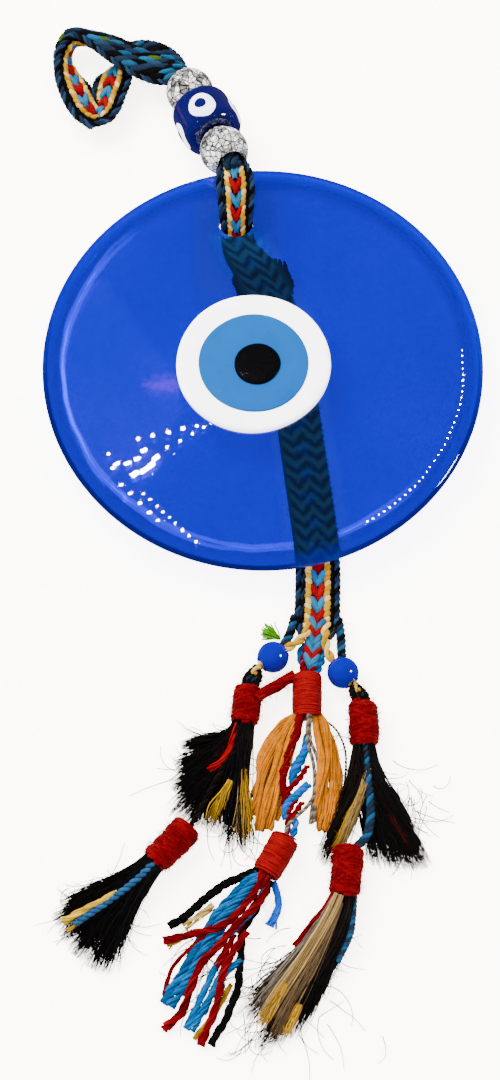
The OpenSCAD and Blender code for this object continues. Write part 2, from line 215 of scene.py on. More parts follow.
def arc(cx, cy, r, start, end, n):
    """n profile points on an arc round cx, cy, from start to end in degrees."""
    return [(cx + r * math.cos(t), cy + r * math.sin(t)) for t in np.radians(np.linspace(start, end, n))]


# ---------------------------------------------------------------- yarns and hair

NAVY = (0.0044, 0.0095, 0.020)
STEEL = (0.0075, 0.018, 0.040)
TEAL = (0.005, 0.034, 0.074)
BRIGHT_TEAL = (0.003, 0.040, 0.088)
BLACK = (0.0019, 0.0015, 0.0014)
BROWN = (0.0042, 0.0022, 0.0016)
GOLD = (0.225, 0.115, 0.0035)
CREAM = (0.38, 0.24, 0.058)
RED = (0.078, 0.0004, 0.0012)
VIVID_RED = (0.100, 0.0006, 0.0016)
SCARLET = (0.122, 0.0004, 0.0010)
BLUE = (0.0008, 0.050, 0.150)
WOVEN_BLUE = (0.008, 0.066, 0.135)
PALE_BLUE = (0.004, 0.045, 0.30)
ORANGE = (0.285, 0.084, 0.0008)
GREY = (0.075, 0.060, 0.045)
TAN = (0.17, 0.105, 0.035)
GREEN = (0.040, 0.170, 0.003)
LEAF = (0.020, 0.045, 0.003)
UP = np.array([0, 0, 1.0])
LOOSE_HAIR_R = 0.15


def vary(colour, n, amount=0.15):
    """n shades of one colour, (n, 3)."""
    return np.asarray(colour) * rng.normal(1, amount, (n, 1)).clip(0.45, 1.7)


def in_turn(colours, n, amount, low, high):
    """n colours taken in turn, each with a shade of its own, (n, 3)."""
    tint = np.array([colours[i % len(colours)] for i in range(n)])
    return tint * rng.normal(1, amount, (n, 1)).clip(low, high)


def lay(route, step):
    """A smooth path along a route, with a point about every step mm."""
    return smooth(route, max(6, int(length_of(smooth(route, 40)) / step)))


def plied(soup, route, r, colours, pitch, sides=7, step=0.5, phase=0.0):
    """Plies of yarn twisted round each other along a route."""
    path = lay(route, step=step)
    _, level, over = frames(path)
    s = np.linspace(0, length_of(path), len(path))
    k = len(colours)
    for i, colour in enumerate(colours):
        off = 0.5 * r * around(level, over, 2 * np.pi * (i / k + s / pitch) + phase)
        tint = np.asarray(colour) * rng.normal(1, 0.07, (len(path), 1)).clip(0.7, 1.3)
        soup.tubes((path + off)[None], 0.58 * r, tint[None], sides)


def roving(soup, route, r, colour, strands=16, pitch=16.0, fray=0.0, shade=0.16):
    """A soft yarn of many loosely turned fibre strands, opening by fray mm at its free end."""
    path = lay(route, step=0.9)
    _, level, over = frames(path)
    s = np.linspace(0, 1, len(path))
    total = length_of(path)
    rho = np.sqrt(rng.uniform(0, 1, strands))[:, None] * r * 0.78
    phi = rng.uniform(0, 2 * np.pi, strands)[:, None] + 2 * np.pi * s * total / pitch
    rho = rho * (1 + 0.10 * np.sin(9 * s + rng.uniform(0, 6, (strands, 1))))
    rho = rho + fray * s**4 * rng.uniform(0, 1, (strands, 1))
    paths = path + around(level, over, phi) * rho[:, :, None]
    paths[:, :, 2] = np.maximum(paths[:, :, 2], 0.25)
    soup.tubes(paths, 0.30 * r, vary(colour, strands, shade), 5)


def fuzz(soup, route, r, colour, per_mm=3.0, length=1.6, thin=0.035):
    """Short fine fibres that stand out from a yarn."""
    path = lay(route, step=0.5)
    along, level, over = frames(path)
    n = int(per_mm * length_of(path))
    i = rng.integers(1, len(path) - 1, n)
    out = around(level[i], over[i], rng.uniform(0, 2 * np.pi, n))
    lean = along[i] * rng.normal(0, 0.7, (n, 1))
    size = length * rng.uniform(0.4, 1.3, (n, 1))
    t = np.linspace(0, 1, 4)[:, None, None]
    curl = rng.normal(0, 0.35, (n, 3))
    paths = (path[i] + out * r * 0.85 + (out + lean) * size * t + curl * size * t**2).transpose(1, 0, 2)
    paths[:, :, 2] = np.maximum(paths[:, :, 2], 0.08)
    soup.tubes(paths, thin * np.array([1, 0.9, 0.7, 0.4]), vary(colour, n, 0.25), 3)


def spun(route, r, colours, pitch, down):
    """A builder of one plied yarn and its down, given as fuzz() takes it."""
    return lambda s: (plied(s, route, r, colours, pitch), fuzz(s, route, *down))


def drawn(route, r, colour, strands, pitch, fray, down):
    """A builder of one roving and its down."""
    return lambda s: (roving(s, route, r, colour, strands, pitch, fray), fuzz(s, route, *down))


def lock(
    soup, root, heading, tip, count, colour, root_r, tip_r, bow=0.0, thick=0.115, ragged=0.10, z=(1.1, 1.6)
):
    """A lock of hair from a root point, leaving along heading and ending about tip; z is the height of its
    tips above the table and their spread."""
    root, tip = np.asarray(root, float), np.asarray(tip, float)
    span = np.linalg.norm(tip[:2] - root[:2])
    ahead = unit(np.append(np.asarray(heading, float), 0.0))
    side = np.array([-ahead[1], ahead[0], 0.0])
    lat = rng.uniform(-1, 1, count)
    h = rng.uniform(-1, 1, count)
    lat = lat * np.sqrt(1 - 0.5 * h**2)
    p0 = root + side * (lat * root_r)[:, None] + UP * (h * root_r * 0.95)[:, None]
    to_tip = unit(np.append(tip[:2] - root[:2], 0.0))
    across = np.array([-to_tip[1], to_tip[0], 0.0])
    late = rng.normal(-0.03, ragged, count)
    near = np.clip(0.75 * lat + rng.normal(0, 0.35, count), -1.7, 1.7)
    p3 = np.append(tip[:2], 0.0) + across * (near * tip_r)[:, None]
    p3 = p3 + to_tip * (np.minimum(late, 0.07) * span)[:, None]
    p3[:, 2] = np.clip(z[0] + h * z[1] + rng.normal(0, 0.4, count), 0.25, None)
    p1 = p0 + ahead * span * 0.33 + side * (lat * 0.45 * root_r)[:, None]
    p1[:, 2] = p0[:, 2] * 0.85 + 0.6
    p2 = p3 - to_tip * span * 0.33 + across * (bow + rng.normal(0, 0.5, count))[:, None]
    p2[:, 2] = np.clip(p3[:, 2] + 0.9, 0.3, None)
    t = np.linspace(0, 1, 10)[:, None, None]
    paths = (1 - t) ** 3 * p0 + 3 * (1 - t) ** 2 * t * p1 + 3 * (1 - t) * t**2 * p2 + t**3 * p3
    wave = np.sin(t * rng.uniform(3, 11, (1, count, 1)) + rng.uniform(0, 6, (1, count, 1)))
    lift = np.sin(t * rng.uniform(3, 9, (1, count, 1)) + rng.uniform(0, 6, (1, count, 1)))
    paths = paths + across * wave * 0.42 * t + UP * lift * 0.35 * t
    paths = paths.transpose(1, 0, 2)
    paths[:, :, 2] = np.maximum(paths[:, :, 2], 0.2)
    radii = thick * rng.uniform(0.6, 1.3, (count, 1)) * np.array([1, 1, 1, 1, 1, 1, 0.95, 0.85, 0.6, 0.25])
    soup.tubes(paths, radii, vary(colour, count, 0.35), 3)


def flyaways(soup, root, tip, count, reach=8.0):
    """Fine hairs that leave a lock sideways along its whole length."""
    root, tip = np.asarray(root, float), np.append(tip, 1.0)
    for _ in range(int(count * 1.5)):
        t = rng.uniform(0.25, 0.95)
        at = root * (1 - t) + tip * t
        a = math.atan2(tip[1] - root[1], tip[0] - root[0]) + rng.normal(0, 0.55)
        turn = rng.normal(0, 0.13)
        step = reach * rng.uniform(0.4, 1.2) / 7
        pts = []
        for i in range(8):
            pts.append(at.copy())
            at = at + step * np.array([math.cos(a), math.sin(a), 0])
            at[2] = max(0.25, at[2] + rng.normal(0, 0.25))
            a += turn + rng.normal(0, 0.08)
        soup.tubes(np.array(pts)[None], LOOSE_HAIR_R * np.linspace(1.1, 0.5, 8), vary(BROWN, 1, 0.3), 3)


def strays(soup, centre, heading, count, reach, spread=1.0):
    """Long single hairs that have worked loose and lie curved on the table."""
    base = math.atan2(heading[1], heading[0])
    for _ in range(int(count * 1.6)):
        a = base + rng.normal(0, spread)
        at = np.asarray(centre) + rng.normal(0, 4.0, 2)
        step = reach * rng.uniform(0.5, 1.2) / 9
        turn = rng.normal(0, 0.16)
        pts = []
        for i in range(10):
            pts.append([at[0], at[1], 0.3 + 2.2 * math.exp(-i / 3)])
            at = at + step * np.array([math.cos(a), math.sin(a)])
            a += turn + rng.normal(0, 0.07)
        soup.tubes(np.array(pts)[None], LOOSE_HAIR_R * np.linspace(1.1, 0.6, 10), vary(BROWN, 1, 0.3), 3)


def fringe(soup, root, ahead, brown, black, loose, bow=(0, 0.6), ragged=0.10):
    """Brown and then black locks from a wrap to their tips, each x, y, hairs, half width."""
    for tone, tips in ((BROWN, brown), (BLACK, black)):
        for x, y, hairs, r in tips:
            lock(soup, root, ahead, [x, y, 1], 2 * hairs, tone, 2.9, r * 1.15, bow=rng.normal(*bow),
                ragged=ragged)
            flyaways(soup, root, (x, y), loose)


def winding(soup, a, b, r, colour, thread=0.30, pitch=0.46, loose=0.5):
    """Thread wound closely round a neck from a to b, rounded at its ends, with a few loose turns."""
    a, b = np.asarray(a, float), np.asarray(b, float)
    along, level, over, size = axis_frame(a, b)

    def helix(turns, start, end, out, n, wobble):
        t = np.linspace(0, 1, n)
        s = start + (end - start) * t
        angle = 2 * np.pi * turns * t + rng.uniform(0, 6)
        edge = np.clip(np.minimum(s, size - s) / 1.1, 0, 1)
        radius = (r - thread) * (0.86 + 0.14 * np.sin(edge * np.pi / 2)) + out
        s = s + wobble * np.interp(t, np.linspace(0, 1, n // 12 + 2), rng.normal(0, 1, n // 12 + 2))
        return a + along * s[:, None] + around(level, over, angle) * radius[:, None]

    core = np.linspace(a + along * 0.1, b - along * 0.1, 8)
    taper = np.array([0.9, 1, 1, 1, 1, 1, 1, 0.9])
    soup.tubes(core[None], (r - thread * 1.4) * taper, np.asarray(colour)[None] * 0.6, 24)
    turns = size / pitch
    path = helix(turns, 0.25, size - 0.25, 0.0, int(turns * 22), 0.10)
    knots = np.arange(0, len(path), 15)
    shades = np.interp(np.arange(len(path)), knots, rng.normal(1, 0.14, len(knots)))
    soup.tubes(path[None], thread, (np.asarray(colour) * shades[:, None])[None], 6)
    for _ in range(7):
        start, end = rng.uniform(0.4, size - 0.4, 2)
        path = helix(rng.uniform(1, 2.2), start, end, thread * 0.55, 44, loose)
        soup.tubes(path[None], thread * 0.8, np.asarray(colour)[None] * rng.uniform(0.8, 1.25), 5)


def felted(soup, a, b, r, colour):
    """A neck wrapped in yarn that has felted together: soft low ridges under a coat of lint."""
    a, b = np.asarray(a, float), np.asarray(b, float)
    along, level, over, size = axis_frame(a, b)
    t = np.linspace(0, 1, 26)
    edge = np.clip(np.minimum(t, 1 - t) * size / 1.5, 0, 1)
    swell = 0.80 + 0.20 * np.sin(edge * np.pi / 2) + 0.03 * np.sin(5 * t + rng.uniform(0, 6))
    core = a + (b - a) * t[:, None] + level * (0.18 * np.sin(4 * t + rng.uniform(0, 6)))[:, None]
    soup.tubes(core[None], (r - 0.55) * swell, np.asarray(colour)[None] * 0.8, 28)
    for turns, lean, depth in ((size / 0.95, 0.0, 0.62), (2.6, 0.0, 0.50), (3.4, 1.0, 0.46),
        (4.3, 2.0, 0.42)):
        n = int(turns * 26)
        u = np.linspace(0, 1, n)
        where = u if lean == 0.0 else 0.5 + 0.42 * np.sin(u * np.pi * (1.6 + lean) + lean * 2)
        angle = 2 * np.pi * turns * u + rng.uniform(0, 6)
        rr = np.interp(where, t, swell) * (r - depth)
        middle = np.stack([np.interp(where, t, core[:, k]) for k in range(3)], axis=1)
        ridge = middle + around(level, over, angle) * rr[:, None]
        soup.tubes(ridge[None], 0.60, np.asarray(colour)[None] * rng.uniform(0.92, 1.1), 7)
    count = int(size * 75)
    at, angle = rng.uniform(0.02, 0.98, count), rng.uniform(0, 2 * np.pi, count)
    ring = around(level, over, angle)
    base = a + (b - a) * at[:, None] + ring * (np.interp(at, t, swell) * r * 0.97)[:, None]
    way = np.cross(along, ring) * rng.normal(0, 1, (count, 1)) + along * rng.normal(0, 0.6, (count, 1))
    way = way + ring * rng.uniform(0.05, 0.5, (count, 1))
    step = np.linspace(0, 1, 5)[:, None, None]
    bend = rng.normal(0, 0.35, (count, 3))
    paths = (base + unit(way) * rng.uniform(0.5, 1.9, (count, 1)) * step + bend * step**2).transpose(1, 0, 2)
    paths[:, :, 2] = np.maximum(paths[:, :, 2], 0.1)
    soup.tubes(paths, 0.05 * np.array([1, 1, 0.9, 0.8, 0.5]), vary(colour, count, 0.22), 3)


# ---------------------------------------------------------------- woven band


def stitch(soup, at, forward, across, out, size, colour, sides=8, rings=7):
    """Padded stitches: at, forward, across, out are (M, 3); size is half length, half width, half height."""
    m = len(at)
    t = np.linspace(-1, 1, rings)
    swell = np.sqrt(np.clip(1 - np.abs(t) ** 2.6, 0, 1))
    a = circle(sides)
    half = np.broadcast_to(np.asarray(size, float), (m, 3))
    spine = at[:, None] + forward[:, None] * (t[:, None] * half[:, None, :1])
    ring = (
        across[:, None, None] * np.cos(a)[:, None] * half[:, None, None, 1:2]
        + out[:, None, None] * np.sin(a)[:, None] * half[:, None, None, 2:3]
    )
    verts = spine[:, :, None] + ring * swell[:, None, None]
    uv = np.stack(np.broadcast_arrays(np.arange(sides) / sides, (t * 2.0)[:, None] + 0 * a), axis=-1)
    colours = np.broadcast_to(np.asarray(colour, float)[:, None, None], (m, rings, sides, 3))
    soup.add(verts, ring_faces(m, rings, sides), colours, np.broadcast_to(uv, (m, rings, sides, 2)))


STRAP_W = 12.0
CHEVRON = 3.7  # from one chevron of the strap's middle to the next


def band(soup, route, face):
    """A woven band along a route of x, y, z, width, thickness, lean. face is +1 where the chevrons are on
    the upper side of a level band and -1 where they are under it; the other side is dark twill."""
    n = int(length_of(smooth(route, 200)) / 0.25)
    r = smooth(route, n)
    path, width, thick, lean = r[:, :3], r[:, 3], r[:, 4], np.radians(r[:, 5])
    along, level, over = frames(path)
    across = level * np.cos(lean)[:, None] + over * np.sin(lean)[:, None]
    out = np.cross(along, across)
    s = np.linspace(0, length_of(path), n)

    def at(where):
        i = np.clip(np.searchsorted(s, where), 0, n - 1)
        return path[i], along[i], across[i], out[i], width[i] / STRAP_W, thick[i] / 2

    def column(u, w, angle, colours, side, step, lift=0.0, long=2.0, phase=0.0):
        """A column of stitches u mm from the band's middle, w mm wide and leaning by angle."""
        where = np.arange(phase, s[-1], step)
        p, f, c, o, k, h = at(where)
        m = len(where)
        tilt = math.radians(angle) + rng.normal(0, 0.07, m)
        fwd = f * np.cos(tilt)[:, None] + c * np.sin(tilt)[:, None]
        crs = c * np.cos(tilt)[:, None] - f * np.sin(tilt)[:, None]
        edge = np.clip(abs(u) / 6.0, 0, 1) ** 4
        rise = h * (0.62 - 0.40 * edge) + lift
        place = p + c * (u * k)[:, None] + o * (side * rise)[:, None] + rng.normal(0, 0.05, (m, 3))
        half = np.stack([step * long * 0.5 + 0 * k, 0.5 * w * k, np.minimum(0.5 * w * k, h * 0.62)], axis=1)
        stitch(soup, place, fwd, crs, o, half, in_turn(colours, m, 0.10, 0.7, 1.4))

    def rope(u, r_rope, colours, turn_pitch, rise, phase=0.0):
        """A plied border yarn u mm from the band's middle."""
        where = np.linspace(0, s[-1], max(4, int(s[-1] / 1.6)))
        p, _, c, o, k, h = at(where)
        route_points = p + c * (u * k)[:, None] + o * (face * rise * h)[:, None]
        plied(soup, route_points, r_rope, colours, turn_pitch, sides=6, step=0.45, phase=phase)

    pair = [VIVID_RED, WOVEN_BLUE]
    rope(-5.05, 0.98, [STEEL, BLACK, NAVY], 5.2, 0.05)
    rope(5.05, 0.98, [BLACK, STEEL, NAVY], 5.2, 0.05, 1.0)
    rope(-3.75, 0.80, [BLACK, NAVY], 4.6, 0.40)
    rope(3.75, 0.80, [BLACK, BLACK], 4.6, 0.40, 1.5)
    cord_a = [GOLD, GOLD, GOLD, CREAM, CREAM, GOLD, CREAM]
    cord_b = [GOLD, GOLD, CREAM, GOLD, GOLD, GOLD, CREAM]
    column(-2.45, 1.75, 20, cord_a, face, 1.45, lift=0.15, long=2.0)
    column(2.45, 1.75, -20, cord_b, face, 1.45, lift=0.15, long=2.0, phase=0.6)
    column(-0.80, 2.05, 27, pair, face, CHEVRON, lift=0.14, long=1.55)
    column(0.80, 2.05, -27, pair, face, CHEVRON, lift=0.14, long=1.55)
    twill = [NAVY, TEAL, NAVY, BLACK, NAVY, STEEL, BRIGHT_TEAL, BLACK, NAVY]
    flecks = [BLACK, NAVY, BRIGHT_TEAL, BLACK, NAVY, LEAF, BLACK, TEAL, BLACK, BLACK]
    column(-3.4, 2.5, 24, flecks, -face, 2.6, long=2.1, phase=0.7)
    column(-1.15, 2.5, 28, twill, -face, 2.6, long=2.2)
    column(1.15, 2.5, 28, twill[3:] + flecks, -face, 2.6, long=2.2, phase=1.2)
    column(3.4, 2.5, 24, flecks[4:] + twill, -face, 2.6, long=2.1, phase=0.2)
    # a dark core fills the band between its yarns
    core, sides = r[::6], 12
    wide, high = (np.sign(f) * np.abs(f) ** 0.7 for f in (np.cos(circle(sides)), np.sin(circle(sides))))
    ring = (
        across[::6][:, None] * wide[:, None] * core[:, None, 3:4] * 0.46
        + out[::6][:, None] * high[:, None] * core[:, None, 4:5] * 0.33
    )
    ring[[0, -1]] *= 0.0
    shape = (len(core), sides)
    soup.add(core[:, None, :3] + ring, ring_faces(*shape), np.broadcast_to(BLACK, (*shape, 3)),
        np.zeros((*shape, 2)))
    # fibres along both edges
    for sign in (-1, 1):
        border = path + across * (sign * width * 0.45)[:, None]
        fuzz(soup, border[::8], 0.5, BROWN, per_mm=3.0, length=1.3, thin=0.04)


# ---------------------------------------------------------------- materials


class Nodes:
    """A material's node tree, with short ways to add the nodes that are used here."""

    def __init__(self, name):
        self.mat = bpy.data.materials.new(name)
        self.mat.use_nodes = True
        self.tree = self.mat.node_tree
        self.bsdf = next(n for n in self.tree.nodes if n.type == "BSDF_PRINCIPLED")
        self.out = next(n for n in self.tree.nodes if n.type == "OUTPUT_MATERIAL")

    def feed(self, socket, value):
        """Links another node's output to a socket, or sets a number, vector or colour on it."""
        if isinstance(value, bpy.types.NodeSocket):
            self.tree.links.new(value, socket)
        elif socket.type == "RGBA":
            socket.default_value = (*value, 1.0)
        else:
            socket.default_value = value

    def add(self, kind, **inputs):
        """A node with its inputs by label, with _ for a space."""
        node = self.tree.nodes.new("ShaderNode" + kind)
        for label, value in inputs.items():
            self.feed(node.inputs[label.replace("_", " ")], value)
        return node

    def set(self, **inputs):
        for label, value in inputs.items():
            self.feed(self.bsdf.inputs[label.replace("_", " ")], value)

    def coords(self, kind="Object"):
        return self.add("TexCoord").outputs[kind]

    def own_colour(self):
        """The colour that each yarn or hair carries in its mesh."""
        node = self.add("Attribute")
        node.attribute_name = "col"
        return node.outputs["Color"]

    def noise(self, vector, scale, detail=3.0, rough=0.55, distortion=0.0):
        node = self.add(
            "TexNoise", Vector=vector, Scale=scale, Detail=detail, Roughness=rough, Distortion=distortion
        )
        return node.outputs["Fac"]

    def cells(self, vector, scale, output, feature="F1"):
        node = self.add("TexVoronoi", Vector=vector, Scale=scale)
        node.feature = feature
        return node.outputs[output]

    def stretch(self, vector, scale, location=(0, 0, 0)):
        return self.add("Mapping", Vector=vector, Scale=scale, Location=location).outputs["Vector"]

    def grey_ramp(self, fac, lo, hi, a=0.0, b=1.0):
        """Maps lo..hi onto a..b, held at both ends."""
        node = self.add("MapRange", Value=fac, From_Min=lo, From_Max=hi, To_Min=a, To_Max=b)
        return node.outputs["Result"]

    def math(self, op, a, b=0.5):
        node = self.add("Math")
        node.operation = op
        self.feed(node.inputs[0], a)
        self.feed(node.inputs[1], b)
        return node.outputs[0]

    def times(self, a, b):
        return self.math("MULTIPLY", a, b)

    def mix(self, fac, a, b, blend="MIX"):
        node = self.add("Mix")
        node.data_type = "RGBA"
        node.blend_type = blend
        for i, value in ((0, fac), (6, a), (7, b)):
            self.feed(node.inputs[i], value)
        return node.outputs[2]

    def bump(self, height, strength, distance, normal=None):
        node = self.add("Bump", Height=height, Strength=strength, Distance=distance)
        if normal is not None:
            self.feed(node.inputs["Normal"], normal)
        return node.outputs["Normal"]


def wool(name, rough=0.85, fibre=1.0, gloss=0.015):
    """Spun wool: each strand's own colour, with painted shade between fibres, and fine fibres along the
    strand.
    """
    m = Nodes(name)
    fine = m.noise(m.stretch(m.coords("UV"), (9, 1.1, 1)), 2.4, 4, 0.65, 0.6)
    slow = m.noise(m.coords("Object"), 420, 2)
    # painted shade in the grooves of the fibre bump, times a slow random tone
    shade = m.times(m.grey_ramp(fine, 0.30, 0.72, 0.50, 1.28), m.grey_ramp(slow, 0.3, 0.7, 0.80, 1.16))
    m.set(
        Base_Color=m.mix(1.0, m.own_colour(), shade, "MULTIPLY"), Normal=m.bump(fine, 0.75 * fibre, 0.00022),
        Roughness=rough, Sheen_Weight=0.003, Sheen_Roughness=0.45, Specular_IOR_Level=gloss,
    )
    return m.mat


def hair(name):
    """Straight hair, each strand its own colour with paler and darker streaks."""
    m = Nodes(name)
    streak = m.noise(m.stretch(m.coords("UV"), (5, 0.5, 1)), 2.0, 3)
    m.set(
        Base_Color=m.mix(1.0, m.own_colour(), m.grey_ramp(streak, 0.3, 0.7, 0.6, 1.35), "MULTIPLY"),
        Roughness=m.grey_ramp(streak, 0.3, 0.7, 0.42, 0.62), Specular_IOR_Level=0.10,
    )
    return m.mat


def glossy_glass(name, colour, rough=0.07, mottling=0.10, speckle=None, shine=1.0):
    """Opaque lampwork glass: slightly uneven colour and surface under a clear skin."""
    m = Nodes(name)
    where = m.coords()
    cloud = m.noise(where, 160, 3, 0.5, 0.4)
    shades = [tuple(min(1, c * (1 + change)) for c in colour) for change in (-mottling, mottling)]
    base = m.mix(m.grey_ramp(cloud, 0.3, 0.7), *shades)
    if speckle is not None:
        dots, patch = m.noise(where, 1500, 2, 0.5), m.noise(where, 110, 2, 0.5)
        base = m.mix(m.times(m.grey_ramp(dots, 0.66, 0.72), m.grey_ramp(patch, 0.48, 0.60)), base, speckle)
    m.set(
        Base_Color=base, Normal=m.bump(m.noise(where, 90, 2, 0.4), 0.25, 0.0012),
        Roughness=m.grey_ramp(cloud, 0.3, 0.7, rough * 0.7, rough * 1.6),
        Coat_Weight=0.3 * shine, Coat_Roughness=0.03, Specular_IOR_Level=0.45 * shine,
    )
    return m.mat


def crackle_silver():
    """Silvered bead with a net of fine dark cracks between facets; the silver's reflections are painted as a
    pale grey of random tone per facet.
    """
    m = Nodes("crackle_silver")
    where = m.coords()
    # cell borders of two sizes make the net
    net = m.times(*(
        m.grey_ramp(m.cells(m.stretch(where, (1, 1, 1), shift), scale, "Distance", "DISTANCE_TO_EDGE"),
            0.014, 0.075)
        for scale, shift in ((560, (0, 0, 0)), (400, (0.31, 0.17, 0.23)))
    ))
    facet = m.add("TexVoronoi", Vector=where, Scale=560)
    # painted reflection: each facet gets its own brightness, standing in for what the silver reflects
    tone = m.grey_ramp(facet.outputs["Color"], 0.2, 0.8, 0.22, 1.7)
    grain = m.grey_ramp(m.noise(where, 1800, 2), 0.3, 0.7, 0.75, 1.1)
    silver = m.mix(1.0, (0.42, 0.42, 0.41), m.times(tone, grain), "MULTIPLY")
    height = m.math("ADD", net, m.times(facet.outputs["Distance"], 0.45))
    m.set(
        Base_Color=m.mix(net, (0.0012, 0.0012, 0.0014), silver), Roughness=m.grey_ramp(net, 0.0, 1.0, 0.7,
            0.26),
        Normal=m.bump(height, 0.9, 0.00035), Metallic=0.15, Specular_IOR_Level=0.6,
    )
    return m.mat


def cobalt_glass():
    """The disc: cobalt glass with painted shade deepening it round its rim, a painted strap shadow, a painted
    bright line inside the rim and a few bubbles; lamps shine through it.

    The strap behind it, a faint haze over that and the bright rim are painted light, drawn as a faint glow of
    the glass.
    """
    m = Nodes("cobalt_glass")
    where = m.coords()
    split = m.add("SeparateXYZ", Vector=where)
    x = m.math("SUBTRACT", split.outputs["X"], GLASS_AT[0] * 0.001)
    y = m.math("SUBTRACT", split.outputs["Y"], (DISC_Y + GLASS_AT[1]) * 0.001)

    def reach(cx, cy, sx, sy):
        """Distance from a place in mm, counted in half widths sx and sy."""
        dx = m.times(m.math("SUBTRACT", x, cx * 0.001), 1000 / sx)
        dy = m.times(m.math("SUBTRACT", y, cy * 0.001), 1000 / sy)
        return m.math("SQRT", m.math("ADD", m.times(dx, dx), m.times(dy, dy)))

    def ragged(scale, reach_by):
        """Noise between -reach_by and reach_by, to be added to an edge."""
        return m.grey_ramp(m.noise(where, scale, 2), 0.3, 0.7, -reach_by, reach_by)

    r = reach(0, 0, 1000, 1000)
    upper = m.grey_ramp(m.math("ADD", y, m.times(x, 0.25)), -0.012, 0.030)
    lower = m.grey_ramp(m.math("ADD", y, x), 0.010, -0.018)
    tint = m.mix(m.grey_ramp(m.noise(where, 26, 3, 0.5), 0.35, 0.65), BODY_BLUE, BODY_BLUE_CLEAR)
    # painted shadow: where the strap stands over and under the glass, and round the hole, the glass is tinted
    # darker and greener
    wide = m.grey_ramp(m.math("ABSOLUTE", m.math("SUBTRACT", x, -0.0075)), 0.0135, 0.0095)
    tall = m.times(m.grey_ramp(y, 0.010, 0.026), m.grey_ramp(y, 0.058, 0.050))
    tint = m.mix(m.times(m.times(wide, tall), 0.55), tint, SHADED_BLUE)
    tint = m.mix(m.times(m.grey_ramp(reach(-8, 37, 8, 15), 1.1, 0.3), 0.5), tint, SHADED_BLUE)
    flaw = m.math("ADD", reach(-26.6, -6.6, 5.6, 2.8), ragged(420, 0.45))
    tint = m.mix(m.times(m.grey_ramp(flaw, 1.1, 0.5), 0.95), tint, FLAW_VIOLET)
    # painted shade: a deeper blue band round the rim, strongest at the top, stands in for the longer path
    # through the glass there
    rim_shade = m.times(m.grey_ramp(r, 0.0535, 0.0570), m.grey_ramp(upper, 0.0, 1.0, 0.75, 1.0))
    tint = m.mix(m.times(rim_shade, 0.9), tint, RIM_SHADE_AND_SPECK_BLUE)
    # painted light: a bright line inside the rim, low on the left
    offset = m.math("ABSOLUTE", m.math("SUBTRACT", m.math("ADD", r, ragged(60, 0.0005)), 0.0545))
    tint = m.mix(m.times(m.times(m.grey_ramp(offset, 0.0008, 0.0003), lower), 0.8), tint, PAINTED_RIM_LINE_BLUE)
    fine = m.grey_ramp(m.noise(where, 1300, 2), 0.66, 0.71)
    specks = m.times(fine, m.grey_ramp(m.noise(where, 70, 2), 0.45, 0.6))
    tint = m.mix(m.times(specks, 0.35), tint, RIM_SHADE_AND_SPECK_BLUE)
    waves = m.bump(m.noise(where, 40, 2, 0.45, 0.5), 0.010, 0.0016)
    soft = m.bump(m.noise(where, 150, 2, 0.5), 0.0016, 0.0010, waves)
    pits = m.grey_ramp(m.cells(where, 260, "Distance"), 0.0, 0.06)
    # painted light: the strap behind the glass, as the camera sees it, drawn as a glow: x against y, in two
    # straight runs
    ahead = m.math("ADD", y, 0.003)
    lower_run = m.math("ADD", m.times(ahead, -0.128), 0.0081)
    upper_run = m.math("ADD", m.times(ahead, -0.47), 0.0131)
    off_strap = m.math("ABSOLUTE", m.math("SUBTRACT", x, m.math("MINIMUM", lower_run, upper_run)))
    strap_glow_mask = m.times(m.grey_ramp(off_strap, 0.0095, 0.0055), m.grey_ramp(ahead, 0.0435, 0.0415))
    # its chevrons show as painted pale and dark zigzags; the loose end above the fold is painted paler
    zigzag = m.times(m.math("PINGPONG", m.times(off_strap, 1000), 3.0), 0.26)
    zigzag = m.math("ADD", zigzag, ragged(300, 0.14))
    phase = m.math("PINGPONG", m.math("ADD", m.times(ahead, 1000 / 3.9), zigzag), 0.5)
    shown = m.grey_ramp(phase, 0.10, 0.40, 0.42, 1.40)
    shown = m.times(shown, m.grey_ramp(ahead, 0.031, 0.037, 1.0, 1.7))
    pattern = m.mix(1.0, PAINTED_STRAP_GLOW, shown, "MULTIPLY")
    pattern = m.mix(m.grey_ramp(off_strap, 0.0062, 0.0052), PAINTED_STRAP_GLOW, pattern)
    edge = m.times(m.grey_ramp(r, 0.0562, 0.0588), m.grey_ramp(upper, 0.0, 1.0, 0.30, 1.0))
    # painted light: the emission draws the strap behind the glass, a faint blue haze and the bright rim as a
    # glow
    m.set(
        Base_Color=tint, Normal=m.bump(pits, 0.02, 0.0002, soft),
        Emission_Color=m.mix(edge, m.mix(strap_glow_mask, PAINTED_BLUE_GLOW, pattern), RIM_GLOW), Emission_Strength=1.0,
        Roughness=0.01, IOR=1.5, Transmission_Weight=1.0,
    )
    # shadow and diffuse rays pass straight through, only tinted
    ray = m.add("LightPath")
    passing = m.math("MAXIMUM", ray.outputs["Is Shadow Ray"], ray.outputs["Is Diffuse Ray"])
    mix = m.add("MixShader", Fac=passing)
    m.feed(mix.inputs[1], m.bsdf.outputs[0])
    m.feed(mix.inputs[2], m.add("BsdfTransparent", Color=LAMP_THROUGH).outputs[0])
    m.feed(m.out.inputs["Surface"], mix.outputs[0])
    return m.mat


BODY_BLUE = (0.0010, 0.0003, 0.096)
BODY_BLUE_CLEAR = (0.0012, 0.0004, 0.108)
# painted shadow of the strap on the glass
SHADED_BLUE = (0.0012, 0.0050, 0.062)
# painted shade of the rim, also the colour of the glass's dark specks
RIM_SHADE_AND_SPECK_BLUE = (0.0002, 0.0001, 0.050)
